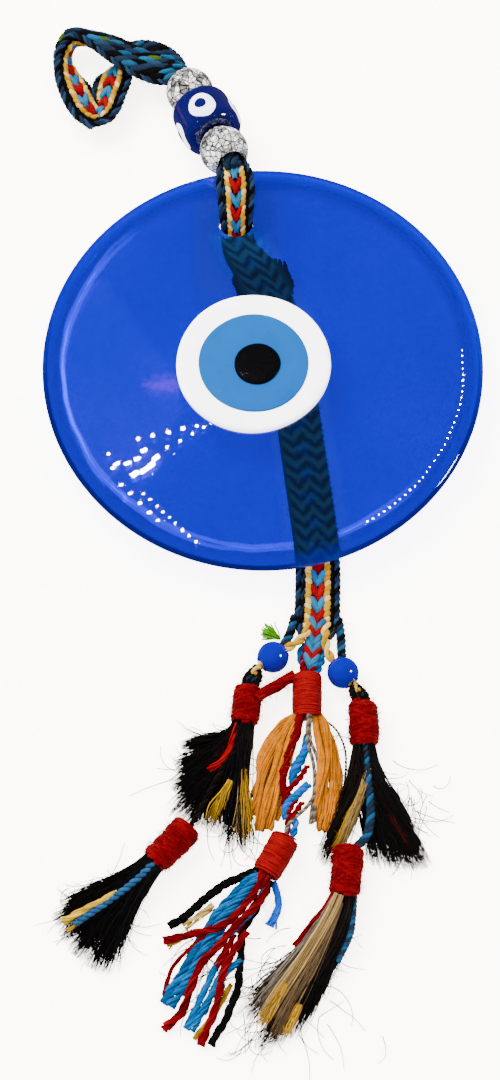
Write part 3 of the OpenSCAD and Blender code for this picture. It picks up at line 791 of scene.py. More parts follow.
# painted bright line inside the rim
PAINTED_RIM_LINE_BLUE = (0.0010, 0.0010, 0.480)
FLAW_VIOLET = (0.016, 0.0001, 0.150)
LAMP_THROUGH = (0.56, 0.56, 0.90)
PAINTED_STRAP_GLOW = (0.0035, 0.022, 0.055)  # painted light: the glow that draws the dark strap seen through the glass
# painted faint blue glow over the whole glass
PAINTED_BLUE_GLOW = (0.0, 0.0, 0.008)
# painted glow of the bright rim
RIM_GLOW = (0.0, 0.0, 0.55)
TABLE_GLOW = 5.5  # about half of the table's light is its own, so that it and its shadows stay pale


def table_paper():
    """The pale table, which gives off light of its own."""
    m = Nodes("pale_table")
    grain = m.noise(m.coords(), 900, 3)
    m.set(
        Base_Color=m.mix(m.grey_ramp(grain, 0.3, 0.7), (0.91, 0.87, 0.82), (0.94, 0.90, 0.85)),
        Roughness=0.8, Specular_IOR_Level=0.0, Emission_Color=(1.0, 0.94, 0.87), Emission_Strength=TABLE_GLOW,
    )
    return m.mat


WOOL = wool("spun_wool")
FELT = wool("felted_wool", fibre=0.7)
THREAD = wool("wound_thread", rough=0.6, fibre=0.8, gloss=0.03)
HAIR = hair("goat_hair")

# ---------------------------------------------------------------- camera

CAMERA_AT = (-0.0027, -0.2467, 0.5895)
CAMERA_TILT = 22.5
FOCAL_IN_FRAME_HEIGHTS = 2.2018

cam = bpy.data.cameras.new("camera")
cam.sensor_fit = "VERTICAL"
cam.sensor_height = 24.0
cam.lens = 24.0 * FOCAL_IN_FRAME_HEIGHTS
cam_obj = bpy.data.objects.new("camera", cam)
cam_obj.location = CAMERA_AT
cam_obj.rotation_euler = (math.radians(CAMERA_TILT), 0, 0)
bpy.context.scene.collection.objects.link(cam_obj)
bpy.context.scene.camera = cam_obj

# ---------------------------------------------------------------- strap and hanging loop

STRAP_T = 2.8
BARREL_AT = np.array([-15.0, 77.2, 10.4])
BEAD_STEP = np.array([5.0, -12.0, 3.5])
UPPER_BEAD = BARREL_AT - BEAD_STEP
LOWER_BEAD = BARREL_AT + BEAD_STEP
BEAD_LINE = unit(BEAD_STEP)


def on_bead_line(k):
    return list(BARREL_AT + k * BEAD_STEP)


# x, y, z, width, thickness, lean: the route of main_strap
strap_route = [on_bead_line(k) + [6, 6, 0] for k in (-1.5, -1, 0, 1)] + [
    on_bead_line(1.36) + [7.4, 3.0, 0],
    [-7.5, 58.9, 14.9, 9.0, STRAP_T, 0],
    [-7.0, 56.2, 14.9, 10.2, STRAP_T, 0],
    [-6.7, 52.8, 14.1, 10.6, STRAP_T, 0],
    [-6.6, 49.8, 12.1, 9.8, 2.6, 0],
    [-6.6, 47.1, 9.8, 9.0, 2.6, 0],
    [-6.5, 45.0, 6.7, 8.6, 2.6, 0],
    [-6.4, 43.4, 3.9, 8.6, 2.4, 0],
    [-5.9, 41.0, 2.0, 9.0, 2.4, 0],
    [-4.6, 37.5, 1.5, 10, STRAP_T, 0],
    [-1.0, 32, 1.5, STRAP_W, STRAP_T, 0],
    [3.2, 23, 1.5, STRAP_W, STRAP_T, 0],
    [7.5, 8, 1.5, STRAP_W, STRAP_T, 0],
    [9.8, -8, 1.5, STRAP_W, STRAP_T, 0],
    [11.8, -24, 1.5, STRAP_W, STRAP_T, 0],
    [13.8, -40, 1.5, STRAP_W, STRAP_T, 0],
    [15.3, -54, 1.5, STRAP_W, STRAP_T, 0],
    [15.2, -66, 1.5, STRAP_W, STRAP_T, 0],
    [14.9, -72, 1.5, STRAP_W, STRAP_T, 0],
    [14.8, -76, 1.5, 8, STRAP_T, 0],
]
# the route of hanging_loop, beginning and ending inside the upper bead
loop_route = [
    list(UPPER_BEAD - BEAD_LINE * 2) + [5, 2.4, 0],
    [-22.6, 94.6, 6.2, 6, 2.4, 0],
    [-25.0, 95.4, 7.4, 8.4, 2.6, 10],
    [-28.8, 95.4, 8.0, 10.4, 3, 14],
    [-33.6, 97.4, 8.4, 11, 3.2, 16],
    [-38.6, 100.6, 8.4, 11, 3.4, 18],
    [-44.2, 104.2, 8.2, 10.8, 4.2, 32],
    [-48.6, 106.6, 7.6, 9.8, 5.0, 50],
    [-52.4, 107.8, 7.0, 9.4, 5.2, 66],
    [-55.2, 106.6, 6.6, 9.6, 5.0, 80],
    [-56.6, 103.2, 6.4, 10.0, 4.6, 92],
    [-56.6, 99.4, 6.4, 10.6, 3.8, 108],
    [-54.9, 94.4, 6.4, 11.2, 3.4, 136],
    [-52.4, 89.0, 6.4, 11.4, 3.4, 154],
    [-49.8, 84.2, 5.8, 10.6, 3.2, 160],
    [-47.0, 82.0, 5.2, 10, 3.2, 158],
    [-44.6, 84.8, 4.6, 10.6, 3.2, 156],
    [-43.5, 89.6, 4.4, 11.6, 3.2, 158],
    [-42.2, 95.0, 4.2, 12, 3.2, 158],
    [-40.4, 99.8, 3.4, 10.4, 3, 120],
    [-37.2, 103.8, 2.4, 9, 2.8, 25],
    [-33.7, 105.6, 1.9, 9, 2.8, 0],
    [-29.5, 104.2, 2.2, 9, 2.8, 0],
    [-26.0, 101.2, 2.8, 8, 2.6, 0],
    [-24.0, 98.2, 3.6, 6, 2.4, 0],
    [-22.8, 95.8, 4.2, 5, 2.4, 0],
    list(UPPER_BEAD - BEAD_LINE * 2 - np.array([0, 0, 1.2])) + [5, 2.4, 0],
]



def yarn_piece(name, body, material, slot, nodes, build):
    """A piece gathered from yarns and hairs by build(soup), riding on its body if it has one."""
    soup = Soup()
    build(soup)
    obj = put(name, soup.mesh(name), material, slot, nodes)
    if body:
        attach(obj, body)
    return obj


FIRST_FREE = 4  # the strap is out of the beads from this route point
strap = yarn_piece("woven_strap", "strap", WOOL, "woven_strap", ["main_strap"],
                   lambda s: band(s, strap_route[FIRST_FREE:], face=1))
strap_path = smooth([p[:3] for p in strap_route[FIRST_FREE:]], 80)
tuple(metres(strap_path[0]))
metres(strap_path).tolist()

loop = yarn_piece("woven_loop", None, WOOL, "woven_strap", ["hanging_loop"],
    lambda s: band(s, loop_route, face=-1))
loop_path = smooth([p[:3] for p in loop_route], 80)
tuple(metres(loop_path[0]))
metres(loop_path).tolist()
point(-20.5, 96, 6)
point(-27, 96, 6)
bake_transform(loop)

# the bundle of yarn that fills the beads' bores
yarn_piece("strap_in_beads", "strap", WOOL, "navy_wool", [],
           lambda s: roving(s, [on_bead_line(k) for k in (-1.45, 0, 1.62)], 3.0, NAVY, strands=26))

# ---------------------------------------------------------------- beads on the strap


def bead_frame(centre, axis):
    """Local z runs along the bore; local x points as far up as it can."""
    z = unit(np.asarray(axis, float))
    x = unit(UP - z * z[2])
    y = np.cross(z, x)
    return lambda local: np.asarray(centre) + local[:, :1] * x + local[:, 1:2] * y + local[:, 2:3] * z


def bored_sphere(r, bore, lip):
    """Profile of a ball with a bore whose mouths are rounded by lip."""
    top = math.degrees(math.acos((bore + lip) / r))
    edge = math.sqrt(r * r - (bore + lip) ** 2)
    profile = arc(0, 0, r, -top, top, 40)
    profile += arc(bore + lip, edge - lip * 0.55, lip, 75, 180, 6)
    profile += [(bore, 0)]
    profile += arc(bore + lip, -edge + lip * 0.55, lip, 180, 285, 6)
    return profile + [profile[0]]


SILVER = crackle_silver()
SILVER_R, BORE_R = 6.8, 3.8
for name, node, body, centre in (
    ("crackle_bead_upper", "upper_silver_bead", "upper_bead", UPPER_BEAD),
    ("crackle_bead_lower", "lower_silver_bead", "lower_bead", LOWER_BEAD),
):
    me = lathe(name, bored_sphere(SILVER_R, BORE_R, 0.5), bead_frame(centre, BEAD_LINE))
    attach(put(name, me, SILVER, "crackle_silver", [node]), body)

BARREL_R, BARREL_HALF, SHOULDER, MOUTH = 8.5, 7.3, 3.1, 0.5
barrel_profile = (
    arc(BARREL_R - SHOULDER, -BARREL_HALF + SHOULDER, SHOULDER, -90, 0, 12)
    + arc(BARREL_R - SHOULDER, BARREL_HALF - SHOULDER, SHOULDER, 0, 90, 12)
    + arc(BORE_R + MOUTH, BARREL_HALF - MOUTH, MOUTH, 90, 180, 5)
    + arc(BORE_R + MOUTH, -BARREL_HALF + MOUTH, MOUTH, 180, 270, 5)
)
barrel_profile.append(barrel_profile[0])
me = lathe("eye_barrel", barrel_profile, bead_frame(BARREL_AT, BEAD_LINE))
navy_glass = glossy_glass("navy_glass", (0.0012, 0.0006, 0.028), speckle=(0.03, 0.06, 0.40))
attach(put("eye_barrel", me, navy_glass, "navy_glass", ["eye_bead"]), "barrel_bead")


def barrel_radius(z):
    """Radius of the barrel's glass at height z along its bore."""
    over = np.maximum(np.abs(z) - (BARREL_HALF - SHOULDER), 0)
    return BARREL_R - SHOULDER + np.sqrt(np.maximum(SHOULDER**2 - over**2, 0.01))


def melted_dot(radius, base, height, turn, shift, squash=1.1):
    """Points of a round dot melted onto the barrel, with a soft edge."""
    rings, segments = 14, 48
    q = np.linspace(0, 1, rings)
    rise = height * np.sqrt(np.clip(1 - q**5, 0, 1))
    a = circle(segments)
    lump = 1 + 0.025 * np.sin(3 * a + turn)
    u = radius * q[:, None] * np.cos(a) * lump + shift[0]
    v = radius * squash * q[:, None] * np.sin(a) * lump + shift[1]
    depth = barrel_radius(v) + base + rise[:, None] - 0.08
    angle = math.radians(turn) + u / BARREL_R
    local = np.stack([depth * np.cos(angle), depth * np.sin(angle), v], axis=-1).reshape(-1, 3)
    return metres(bead_frame(BARREL_AT, BEAD_LINE)(local)), ring_faces(rings, segments)


DOT_TURNS = (8, -82, 98, 188)
for name, node, radius, base, height, colour, slot, shift in (
    ("eye_dots", "eye_bead_whites", 4.1, 0.0, 0.36, (0.62, 0.64, 0.74), "white_glass", (0, 1.7)),
    ("eye_dot_pupils", "eye_bead_pupils", 1.72, 0.28, 0.30, (0.0016, 0.0010, 0.036), "navy_glass",
     (0.2, 1.2)),
):
    verts, faces, count = [], [], 0
    for turn in DOT_TURNS:
        v, f = melted_dot(radius, base, height, turn, shift)
        verts.append(v)
        faces.append(f + count)
        count += len(v)
    me = smooth_mesh(name, np.concatenate(verts), np.concatenate(faces))
    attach(put(name, me, glossy_glass(name + "_glass", colour, mottling=0.04), slot, [node]), "barrel_bead")

# ---------------------------------------------------------------- glass disc and eye

TOP = DISC_Z + DISC_T
RIM_SLOPE, RIM_ROUND = 4.5, 1.8
waist = DISC_T - RIM_ROUND
disc_profile = (
    [(0.001, 0)]
    + [(r, 0) for r in (20, 40, 52)]
    + [
        (DISC_R - RIM_SLOPE + RIM_SLOPE * math.sin(t), waist - waist * math.cos(t))
        for t in np.radians(np.linspace(0, 88, 16))
    ]
    + arc(DISC_R - RIM_ROUND, waist, RIM_ROUND, 0, 90, 12)
    + [(r, DISC_T) for r in (58.1, 57.9, 52, 40, 20)]
    + [(0.001, DISC_T)]
)
OVAL = [1.003, 1.012, 1]
me = lathe("glass_eye_disc", disc_profile, lambda p: p * OVAL + [*GLASS_AT, DISC_Z], segments=256)
disc = put("glass_eye_disc", me, cobalt_glass(), "cobalt_glass", ["glass_disc"])
cutter_profile = [(0.001, -1), (HOLE_R, -1), (HOLE_R, DISC_T + 1), (0.001, DISC_T + 1)]
cutter_me = lathe("cutter", cutter_profile, lambda p: p + [HOLE[0], HOLE[1], DISC_Z], segments=96)
cutter = bpy.data.objects.new("cutter", cutter_me)
bpy.context.scene.collection.objects.link(cutter)
cut = disc.modifiers.new("hole", "BOOLEAN")
cut.operation = "DIFFERENCE"
cut.solver = "EXACT"
cut.object = cutter
bpy.context.view_layer.update()
holed = bpy.data.meshes.new_from_object(disc.evaluated_get(bpy.context.evaluated_depsgraph_get()))
disc.modifiers.clear()
disc.data = holed
bpy.data.objects.remove(cutter)
disc.data.polygons.foreach_set("use_smooth", np.ones(len(disc.data.polygons), bool))
disc.data.set_sharp_from_angle(angle=math.radians(40))
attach(disc, "disc")


def layer(name, node, centre, r, z, h, colour, slot, wobble, seed, dome=0.12):
    """A poured round layer: slightly out of round, with a soft rolled edge."""
    edge = min(h, 1.2)
    profile = [(0.001, h + dome)] + [(r * q, h + dome * (1 - q * q)) for q in (0.25, 0.5, 0.7, 0.85)]
    profile += [
        (r - edge + edge * math.cos(t), h - edge * 0.9 + edge * 0.9 * math.sin(t))
        for t in np.radians(np.linspace(80, 0, 12))
    ]
    profile += [(r - 0.05, 0)]

    def place(p):
        a = np.arctan2(p[:, 1], p[:, 0])
        waves = np.sin(2 * a + seed) + 0.6 * np.sin(3 * a + 2 * seed) + 0.4 * np.sin(5 * a + 3 * seed)
        k = 1 + wobble * waves
        return np.stack([p[:, 0] * k + centre[0], p[:, 1] * k + centre[1], p[:, 2] + z], axis=1)

    me = lathe(name, profile, place, segments=128)
    glass = glossy_glass(name + "_glass", colour, rough=0.3, mottling=0.05, shine=0.06)
    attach(put(name, me, glass, slot, [node]), "disc")


layer("white_layer", "white_eye", (-1.8, 0.4), 20.9, TOP, 1.7, (0.93, 0.93, 0.95), "white_glass", 0.007, 1.0)
layer("sky_blue_layer", "blue_iris", (-1.7, -0.1), 14.9, TOP + 1.68, 0.5, (0.0, 0.041, 0.160), "sky_glass",
    0.006, 2.2)
layer("black_layer", "black_pupil", (-0.7, -0.7), 6.25, TOP + 2.2, 0.5, (0.0008, 0.0008, 0.0010),
    "black_glass", 0.012, 0.4)

# ---------------------------------------------------------------- sewn fold behind the disc

FOLD_AT, FOLD_TURN = (1, 28.5), 20


def fold_layers(s):
    """Four layers of yarns side by side, shorter at the fold's rounded corners."""
    turn = math.radians(FOLD_TURN)
    fold_x = np.array([math.cos(turn), math.sin(turn), 0])
    fold_y = np.array([-math.sin(turn), math.cos(turn), 0])
    for z in (0.45, 1.3, 2.15, 3.0):
        for i in range(17):
            u = -7.6 + i * 0.95
            ends = 6.0 * (1 - 0.42 * abs(u / 7.8) ** 5) + rng.normal(0, 0.2)
            line = [np.array([*FOLD_AT, z]) + fold_x * (u + 0.2 * math.sin(i + k)) + fold_y * ends * v
                    for k, v in enumerate((-1, -0.4, 0.3, 1))]
            roving(s, line, 0.46, BLACK if i % 3 else NAVY, strands=6, pitch=5)


yarn_piece("sewn_fold", "strap", WOOL, "black_wool", ["stitched_fold"], fold_layers)

thread = Nodes("sewing_thread")
ply = thread.noise(thread.stretch(thread.coords(), (900, 2600, 900)), 1.0, 3)
thread.set(
    Base_Color=thread.mix(thread.grey_ramp(ply, 0.3, 0.7), (0.20, 0.15, 0.08), (0.50, 0.40, 0.24)),
    Normal=thread.bump(ply, 0.5, 0.0001), Roughness=0.6, Sheen_Weight=0.3,
)
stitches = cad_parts["fold_stitches"]
stitches.data.materials.clear()
stitches.data.materials.append(thread.mat)

# ---------------------------------------------------------------- yarns at the split

LEFT_BEAD, RIGHT_BEAD = [3.3, -82.4, 4.3], [21.5, -86.7, 4.3]
left_gold = [
    [12.4, -72.5, 2.9], [12, -75.8, 4.3], [9.2, -78.6, 4.4], [6.7, -80.1, 4.3], LEFT_BEAD,
    [-0.2, -84.8, 4.3],
]
right_gold = [
    [17.5, -72.5, 2.9], [17, -76.4, 4.2], [17.4, -80.4, 4.4], [18.9, -83.4, 4.3], RIGHT_BEAD,
    [23.9, -89.6, 4.3],
]
left_edge = [[9.2, -70, 1.6], [8.2, -73.8, 1.7], [7.4, -76, 2.0], [6.4, -78, 2.4], [5.6, -79.4, 3.0]]
right_edge = [[20.6, -71, 1.6], [21, -73.8, 1.7], [21.3, -77, 1.9], [21.3, -80.4, 2.4], [21.4, -82.2, 3.2]]
gold_down, edge_down = (1.0, GOLD, 2), (1.1, BROWN, 4, 2.2)
for name, node, slot, builder in (
    ("gold_yarn_left", "left_gold_yarn", "gold_wool", spun(left_gold, 1.15, [GOLD, CREAM], 6.5, gold_down)),
    ("gold_yarn_right", "right_gold_yarn", "gold_wool",
     spun(right_gold, 1.15, [CREAM, GOLD], 6.5, gold_down)),
    ("edge_yarn_left", "left_edge_yarn", "navy_wool",
     spun(left_edge, 1.25, [BLACK, NAVY, TEAL], 4.5, edge_down)),
    ("edge_yarn_right", "right_edge_yarn", "navy_wool",
     spun(right_edge, 1.25, [BLACK, TEAL, NAVY], 4.5, edge_down)),
):
    yarn_piece(name, "strap", WOOL, slot, [node], builder)

# the chevron yarns run on past the weave and into the middle wrap


def chevrons(s, route, colours):
    """A column of chevrons lying on a narrow route, their points towards its end."""
    path = lay(route, step=CHEVRON)
    along, level, over = frames(path)
    n = len(path)
    tint = in_turn(colours, n, 0.08, 0.8, 1.2)
    for side in (-1, 1):
        lean = math.radians(27) * -side
        forward = along * math.cos(lean) + level * math.sin(lean)
        across = level * math.cos(lean) - along * math.sin(lean)
        at = path + level * (side * 0.85) + rng.normal(0, 0.06, (n, 3))
        stitch(s, at, forward, across, over, (CHEVRON * 0.76, 0.95, 1.1), tint)


def split_yarns(s):
    chevrons(s, [[14.9, -73.2, 3.2], [14.2, -77.5, 3.6], [13.2, -83.4, 4.2]],
        [WOVEN_BLUE, VIVID_RED, WOVEN_BLUE])
    for route, colour in (
        ([[13.6, -73, 2.4], [12.6, -78, 2.8], [11.4, -82.5, 3.0], [11.2, -87, 4.0]], RED),
        ([[16.0, -73, 2.4], [15.8, -78, 2.9], [14.6, -82.5, 3.4], [13.4, -87, 5.0]], RED),
        ([[14.2, -74, 3.0], [13.8, -79, 3.6], [14.4, -83.4, 3.8], [13.4, -87, 4.6]], BLUE),
        ([[15.6, -76, 2.9], [16.4, -80, 3.0], [15.6, -84.2, 3.4], [14.2, -87, 3.8]], BLUE),
        ([[12.0, -78, 2.2], [10.4, -81, 2.4], [11.4, -84.6, 2.8], [12.0, -87, 3.4]], BLUE),
        ([[13.6, -80, 2.0], [13.2, -84, 2.2], [12.6, -87, 3.0]], NAVY),
    ):
        plied(s, route, 1.05, [colour, np.asarray(colour) * 0.8], 5)
        fuzz(s, route, 0.9, colour, 2, 1.2)


split = yarn_piece("chevron_yarns", None, WOOL, "woven_strap", [], split_yarns)
point(13.4, -82.6, 3)
point(12.6, -86.6, 3)
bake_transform(split)


def tuft(s):
    """The cut end of green yarn, spread a little."""
    for _ in range(90):
        a, h = rng.normal(0, 0.28), rng.normal(0.12, 0.22)
        turn = math.radians(155) + a
        d = np.array([math.cos(turn), math.sin(turn), h])
        p = np.array([5.2, -76.4, 1.9])
        k = rng.uniform(3.6, 5.4)
        line = np.stack([p + d * k * t + rng.normal(0, 0.08, 3) for t in (0, 0.35, 0.7, 1)])
        line[:, 2] = np.maximum(line[:, 2], 0.3)
        s.tubes(line[None], 0.17, vary(GREEN, 1, 0.3), 4)


yarn_piece("green_cut_end", "strap", WOOL, "green_wool", ["green_tuft"], tuft)

# ---------------------------------------------------------------- blue beads

BLUE_BEAD_R, BLUE_BORE_R = 4.1, 1.7
BEAD_BLUE = glossy_glass("blue_bead_glass", (0.0001, 0.0006, 0.118), rough=0.06, mottling=0.12)
for name, node, body, centre, turn in (
    ("blue_bead_left", "left_blue_bead", "left_bead", LEFT_BEAD, 34),
    ("blue_bead_right", "right_blue_bead", "right_bead", RIGHT_BEAD, -51),
):
    axis = (math.cos(math.radians(turn)), math.sin(math.radians(turn)), 0)
    me = lathe(name, bored_sphere(BLUE_BEAD_R, BLUE_BORE_R, 0.35), bead_frame(centre, axis), 64)
    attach(put(name, me, BEAD_BLUE, "blue_bead_glass", [node]), body)

# ---------------------------------------------------------------- necks between beads and tassels


def neck(s, start, wrap_top):
    """Five dark yarns looped from a bead's bore into the top of a wrap."""
    for k in range(5):
        side = 1.3 * (k - 2) / 2
        middle = (np.asarray(start) + np.asarray(wrap_top)) / 2
        mid = middle + np.array([side * 1.3, 0.3, rng.uniform(-0.6, 1.2)])
        route = [start, mid, np.asarray(wrap_top) + [side, 0, rng.uniform(-1.2, 1.2)]]
        plied(s, route, 0.95, [BLACK, NAVY if k % 2 else BLACK, BROWN], 4)
    fuzz(s, [start, wrap_top], 2.0, BROWN, 14, 2.2)


for side, start, top, gold_end, blend_from, blend_to in (
    ("left", [-0.9, -85.0, 4.3], [-3.0, -91.2, 4.1],
     [[-0.2, -84.8, 4.4], [-1.2, -85.9, 4.6], [-1.8, -87.2, 4.6]],
     point(-0.6, -84.9, 4.3), point(-1.8, -87.6, 4.3)),
    ("right", [24.4, -89.9, 4.3], [26.5, -95.4, 4.1],
     [[23.9, -89.6, 4.4], [24.9, -90.8, 4.7], [25.2, -92.0, 4.7]],
     point(24.0, -89.6, 4.3), point(25.4, -92.2, 4.3)),
):
    loops = yarn_piece("black_loops_" + side, None, WOOL, "black_wool", [side + "_neck"],
                       lambda s: (neck(s, start, top), plied(s, gold_end, 0.9, [CREAM, GOLD], 5)))
    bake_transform(loops)

link = [[-1.4, -94.4, 6.4], [1.2, -92.4, 5.2], [5.0, -89.6, 3.8], [9.0, -87.0, 3.6]]
yarn_piece("red_tail", "left_tassel", FELT, "dark_red_wool", ["red_link"],
           drawn(link, 1.5, VIVID_RED, 30, 30, 0.5, (1.4, RED, 22, 1.9)))

# ---------------------------------------------------------------- wraps

WRAP_MID = 4.15  # height of a wrap's middle
# both ends, radius, colour, and whether it is crisp thread or felted yarn
WRAPS = {
    "left": ((-2.9, -90.5), (-4.4, -100.6), 3.6, RED, False),
    "centre": ((12.2, -87.0), (12.0, -99.0), 3.85, SCARLET, True),
    "right": ((26.5, -94.8), (26.6, -106.4), 3.75, RED, False),
    "lower_left": ((-18.2, -127.9), (-27.0, -137.2), 3.95, RED, False),
    "lower_centre": ((6.5, -130.9), (1.1, -140.4), 3.75, SCARLET, True),
    "lower_right": ((22.1, -133.4), (21.0, -146.0), 3.95, RED, False),
}
for name, (a, b, r, colour, crisp) in WRAPS.items():
    start, end = [*a, WRAP_MID], [*b, WRAP_MID]

    def wrapped(s):
        if crisp:
            winding(s, start, end, r, colour)
            fuzz(s, [start, end], r - 0.3, colour, 14, 1.1)
        else:
            felted(s, start, end, r, colour)

    yarn_piece("wrap_" + name, name + "_tassel", THREAD if crisp else FELT,
               "bright_red_thread" if crisp else "dark_red_wool", [name + "_wrap"], wrapped)

# ---------------------------------------------------------------- upper left tassel


def left_black(s):
    black = (
        (-19.6, -105.4, 90, 1.0), (-20.8, -110.6, 110, 1.6), (-21.2, -116.5, 130, 2.2),
        (-21.0, -122.5, 130, 2.2), (-17.0, -125.5, 110, 2.2), (-12.5, -126.5, 110, 2.4),
        (-8.5, -130.0, 110, 2.2), (-4.5, -131.5, 80, 1.3),
    )
    fringe(s, [-4.4, -100.2, 3.9], (-0.15, -1), (), black, 9)
    strays(s, (-14, -115), (-0.7, -0.7), 18, 12)
    strays(s, (-6, -128), (0, -1), 10, 9, spread=0.5)


yarn_piece("fringe_left", "left_tassel", HAIR, "black_wool", ["left_fringe"], left_black)
red_route = [[-6.4, -101, 6.0], [-7.4, -106, 5.6], [-9.4, -110.4, 5.0], [-12.6, -113.6, 3.8]]
yarn_piece("red_lock_left", "left_tassel", FELT, "dark_red_wool", ["left_red_strand"],
           drawn(red_route, 0.85, SCARLET, 14, 20, 1.2, (0.7, RED, 4, 1.4)))


def left_gold_lock(s):
    lock(s, [-7.6, -116, 4.4], (-0.5, -1), [-12.4, -126.4, 2.6], 60, GOLD, 0.8, 1.7, thick=0.15, z=(2.6, 0.6))
    lock(s, [-4.2, -113, 4.2], (0, -1), [-3.0, -131.2, 2], 60, GOLD, 0.8, 1.5, thick=0.14, z=(2.2, 0.7))
    lock(s, [-4.6, -112, 4.0], (0, -1), [-5.4, -131, 2], 30, TAN, 0.8, 1.5, thick=0.12, z=(2.2, 0.7))


yarn_piece("gold_lock_left", "left_tassel", WOOL, "gold_wool", ["left_gold_strands"], left_gold_lock)
string_l = [[-4.6, -101, 5.6], [-9.5, -112, 5.0], [-14, -121, 4.4], [-17, -126.6, 4.2], [-19, -128.8, 4.1]]
string_piece = yarn_piece("string_left", None, WOOL, "black_wool", ["left_string"],
                          lambda s: plied(s, string_l, 0.8, [BLACK, BROWN], 4))
point(-16.4, -126, 4.2)
point(-18, -127.7, 4.2)
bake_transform(string_piece)

# ---------------------------------------------------------------- upper middle tassel


def skein(s, strands, inward):
    """Fluffy doubled yarns: each runs down to a turn near the tips and comes back beside itself."""
    for top, belly, tip in strands:
        high = 3.4 + rng.uniform(-1.0, 1.8)
        half = (top[1] + tip[1]) / 2
        for side in (0.0, 1.0):
            shift = side * inward * rng.uniform(0.9, 1.5)
            sway = rng.normal(0, 0.5, 4)
            route = [
                [top[0], top[1], high],
                [top[0] * 0.55 + belly * 0.45 + shift * 0.4 + sway[0] * 0.5, top[1] * 0.7 + half * 0.3,
                 high + 0.7],
                [belly + shift + sway[1], half, high + rng.uniform(-0.3, 0.8)],
                [belly * 0.45 + tip[0] * 0.55 + shift + sway[2], half * 0.4 + tip[1] * 0.6, 0.6 * high + 0.9],
                [tip[0] + shift, tip[1] + 1.2, 2.0],
                [tip[0] + shift * 0.5, tip[1], 1.6],
            ]
            roving(s, route, 0.86, np.asarray(ORANGE) * rng.uniform(0.85, 1.12), 16, 30, fray=0.35,
                shade=0.09)
            fuzz(s, route, 0.8, ORANGE, 3.0, 1.2, 0.03)


def orange_left(s):
    skein(s, (
        ((8.6, -98.4), -0.4, (-1.6, -119.6)), ((8.9, -98.4), 0.8, (-2.2, -124.4)),
        ((9.3, -98.4), 2.2, (-0.6, -128.4)), ((9.7, -98.4), 3.6, (1.4, -128.0)),
        ((10.1, -98.4), 4.6, (3.2, -125.6)), ((9.2, -98.4), 1.6, (0.6, -126.4)),
        ((10.3, -98.4), 5.6, (4.2, -121.4)),
    ), 1.0)


def orange_right(s):
    skein(s, (
        ((15.4, -98.4), 19.6, (19.4, -120.6)), ((15.1, -98.4), 19.0, (19.2, -126.6)),
        ((14.8, -98.4), 17.8, (17.6, -128.6)), ((14.4, -98.4), 16.6, (16.0, -128.2)),
        ((14.0, -98.4), 15.6, (14.6, -126.0)), ((15.3, -98.4), 18.6, (18.6, -124.0)),
    ), -1.0)
    pale = [[15.6, -99, 3.4], [19.0, -106, 3.0], [20.4, -114, 2.2], [20.0, -122, 1.4]]
    roving(s, pale, 0.7, (0.60, 0.30, 0.15), 12, 20, fray=0.8)


yarn_piece("orange_skein_left", "centre_tassel", WOOL, "orange_wool", ["left_orange_skein"], orange_left)
yarn_piece("orange_skein_right", "centre_tassel", WOOL, "orange_wool", ["right_orange_skein"], orange_right)


def centre_red(s):
    thick = [[10.2, -98.6, 5.6], [9.4, -103.6, 6.2], [7.0, -109.6, 5.8], [5.6, -115, 5.0],
        [6.4, -119.4, 4.4], [9.6, -121, 4.4]]
    roving(s, thick, 1.25, RED, 20, 15)
    fuzz(s, thick, 1.1, RED, 5, 1.3)
    for route in (
        [[12.0, -112, 4.4], [10.0, -115.6, 5.4], [6.4, -119.6, 4.6], [6.0, -124, 4.4]],
        [[12.4, -117, 4.2], [9.4, -120.4, 5.2], [7.2, -124.6, 5.0], [6.6, -131.6, 4.2]],
        [[10.6, -121.6, 4.2], [8.6, -125, 5.0], [7.0, -128, 4.6], [6.2, -132, 4.0]],
    ):
        plied(s, route, 0.8, [RED, np.asarray(RED) * 0.8], 4)


def centre_blue(s):
    plied(s, [[12.2, -104, 4.6], [11.2, -108.6, 5.2], [8.6, -113, 4.6], [8.4, -116.6, 3.8]], 1.15,
        [BLUE, BLUE, PALE_BLUE], 6)
    plied(s, [[12.0, -106, 4.4], [10.4, -111, 4.6], [7.8, -115.6, 4.0]], 1.0, [BLUE, BLUE], 5)
    plied(s, [[12.2, -117, 4.6], [9.8, -119.4, 5.6], [6.6, -122.8, 5.0], [6.4, -126, 4.2]], 1.05,
        [BLUE, BLUE, PALE_BLUE], 5)
    plied(s, [[8.4, -124.6, 4.4], [8.8, -128, 4.8], [7.6, -131.6, 4.2]], 0.95, [BLUE, PALE_BLUE], 5)


def centre_grey(s):
    for route in (
        [[12.4, -98.6, 7.0], [12.0, -105.6, 6.2], [13.4, -111, 5.4], [13.8, -117, 4.6], [12.6, -127, 3.4]],
        [[12.9, -98.6, 6.6], [12.7, -105, 5.8], [14.6, -110.6, 5.2], [14.6, -117, 4.4], [13.4, -126.4, 3.2]],
        [[15.4, -112, 4.8], [14.6, -117, 4.6], [12.2, -122.4, 4.8], [7.2, -127.6, 5.2], [6.2, -131.8, 4.6]],
    ):
        plied(s, route, 0.50, [GREY, (0.14, 0.105, 0.07), (0.030, 0.026, 0.022)], 2.2, step=0.3)
    plied(s, [[15.8, -99.4, 5.2], [19.8, -102.2, 3.0], [22.0, -108, 1.4], [21.4, -117, 1.0],
        [20.0, -124, 0.8]], 0.32, [GREY, BLACK], 2, step=0.4)


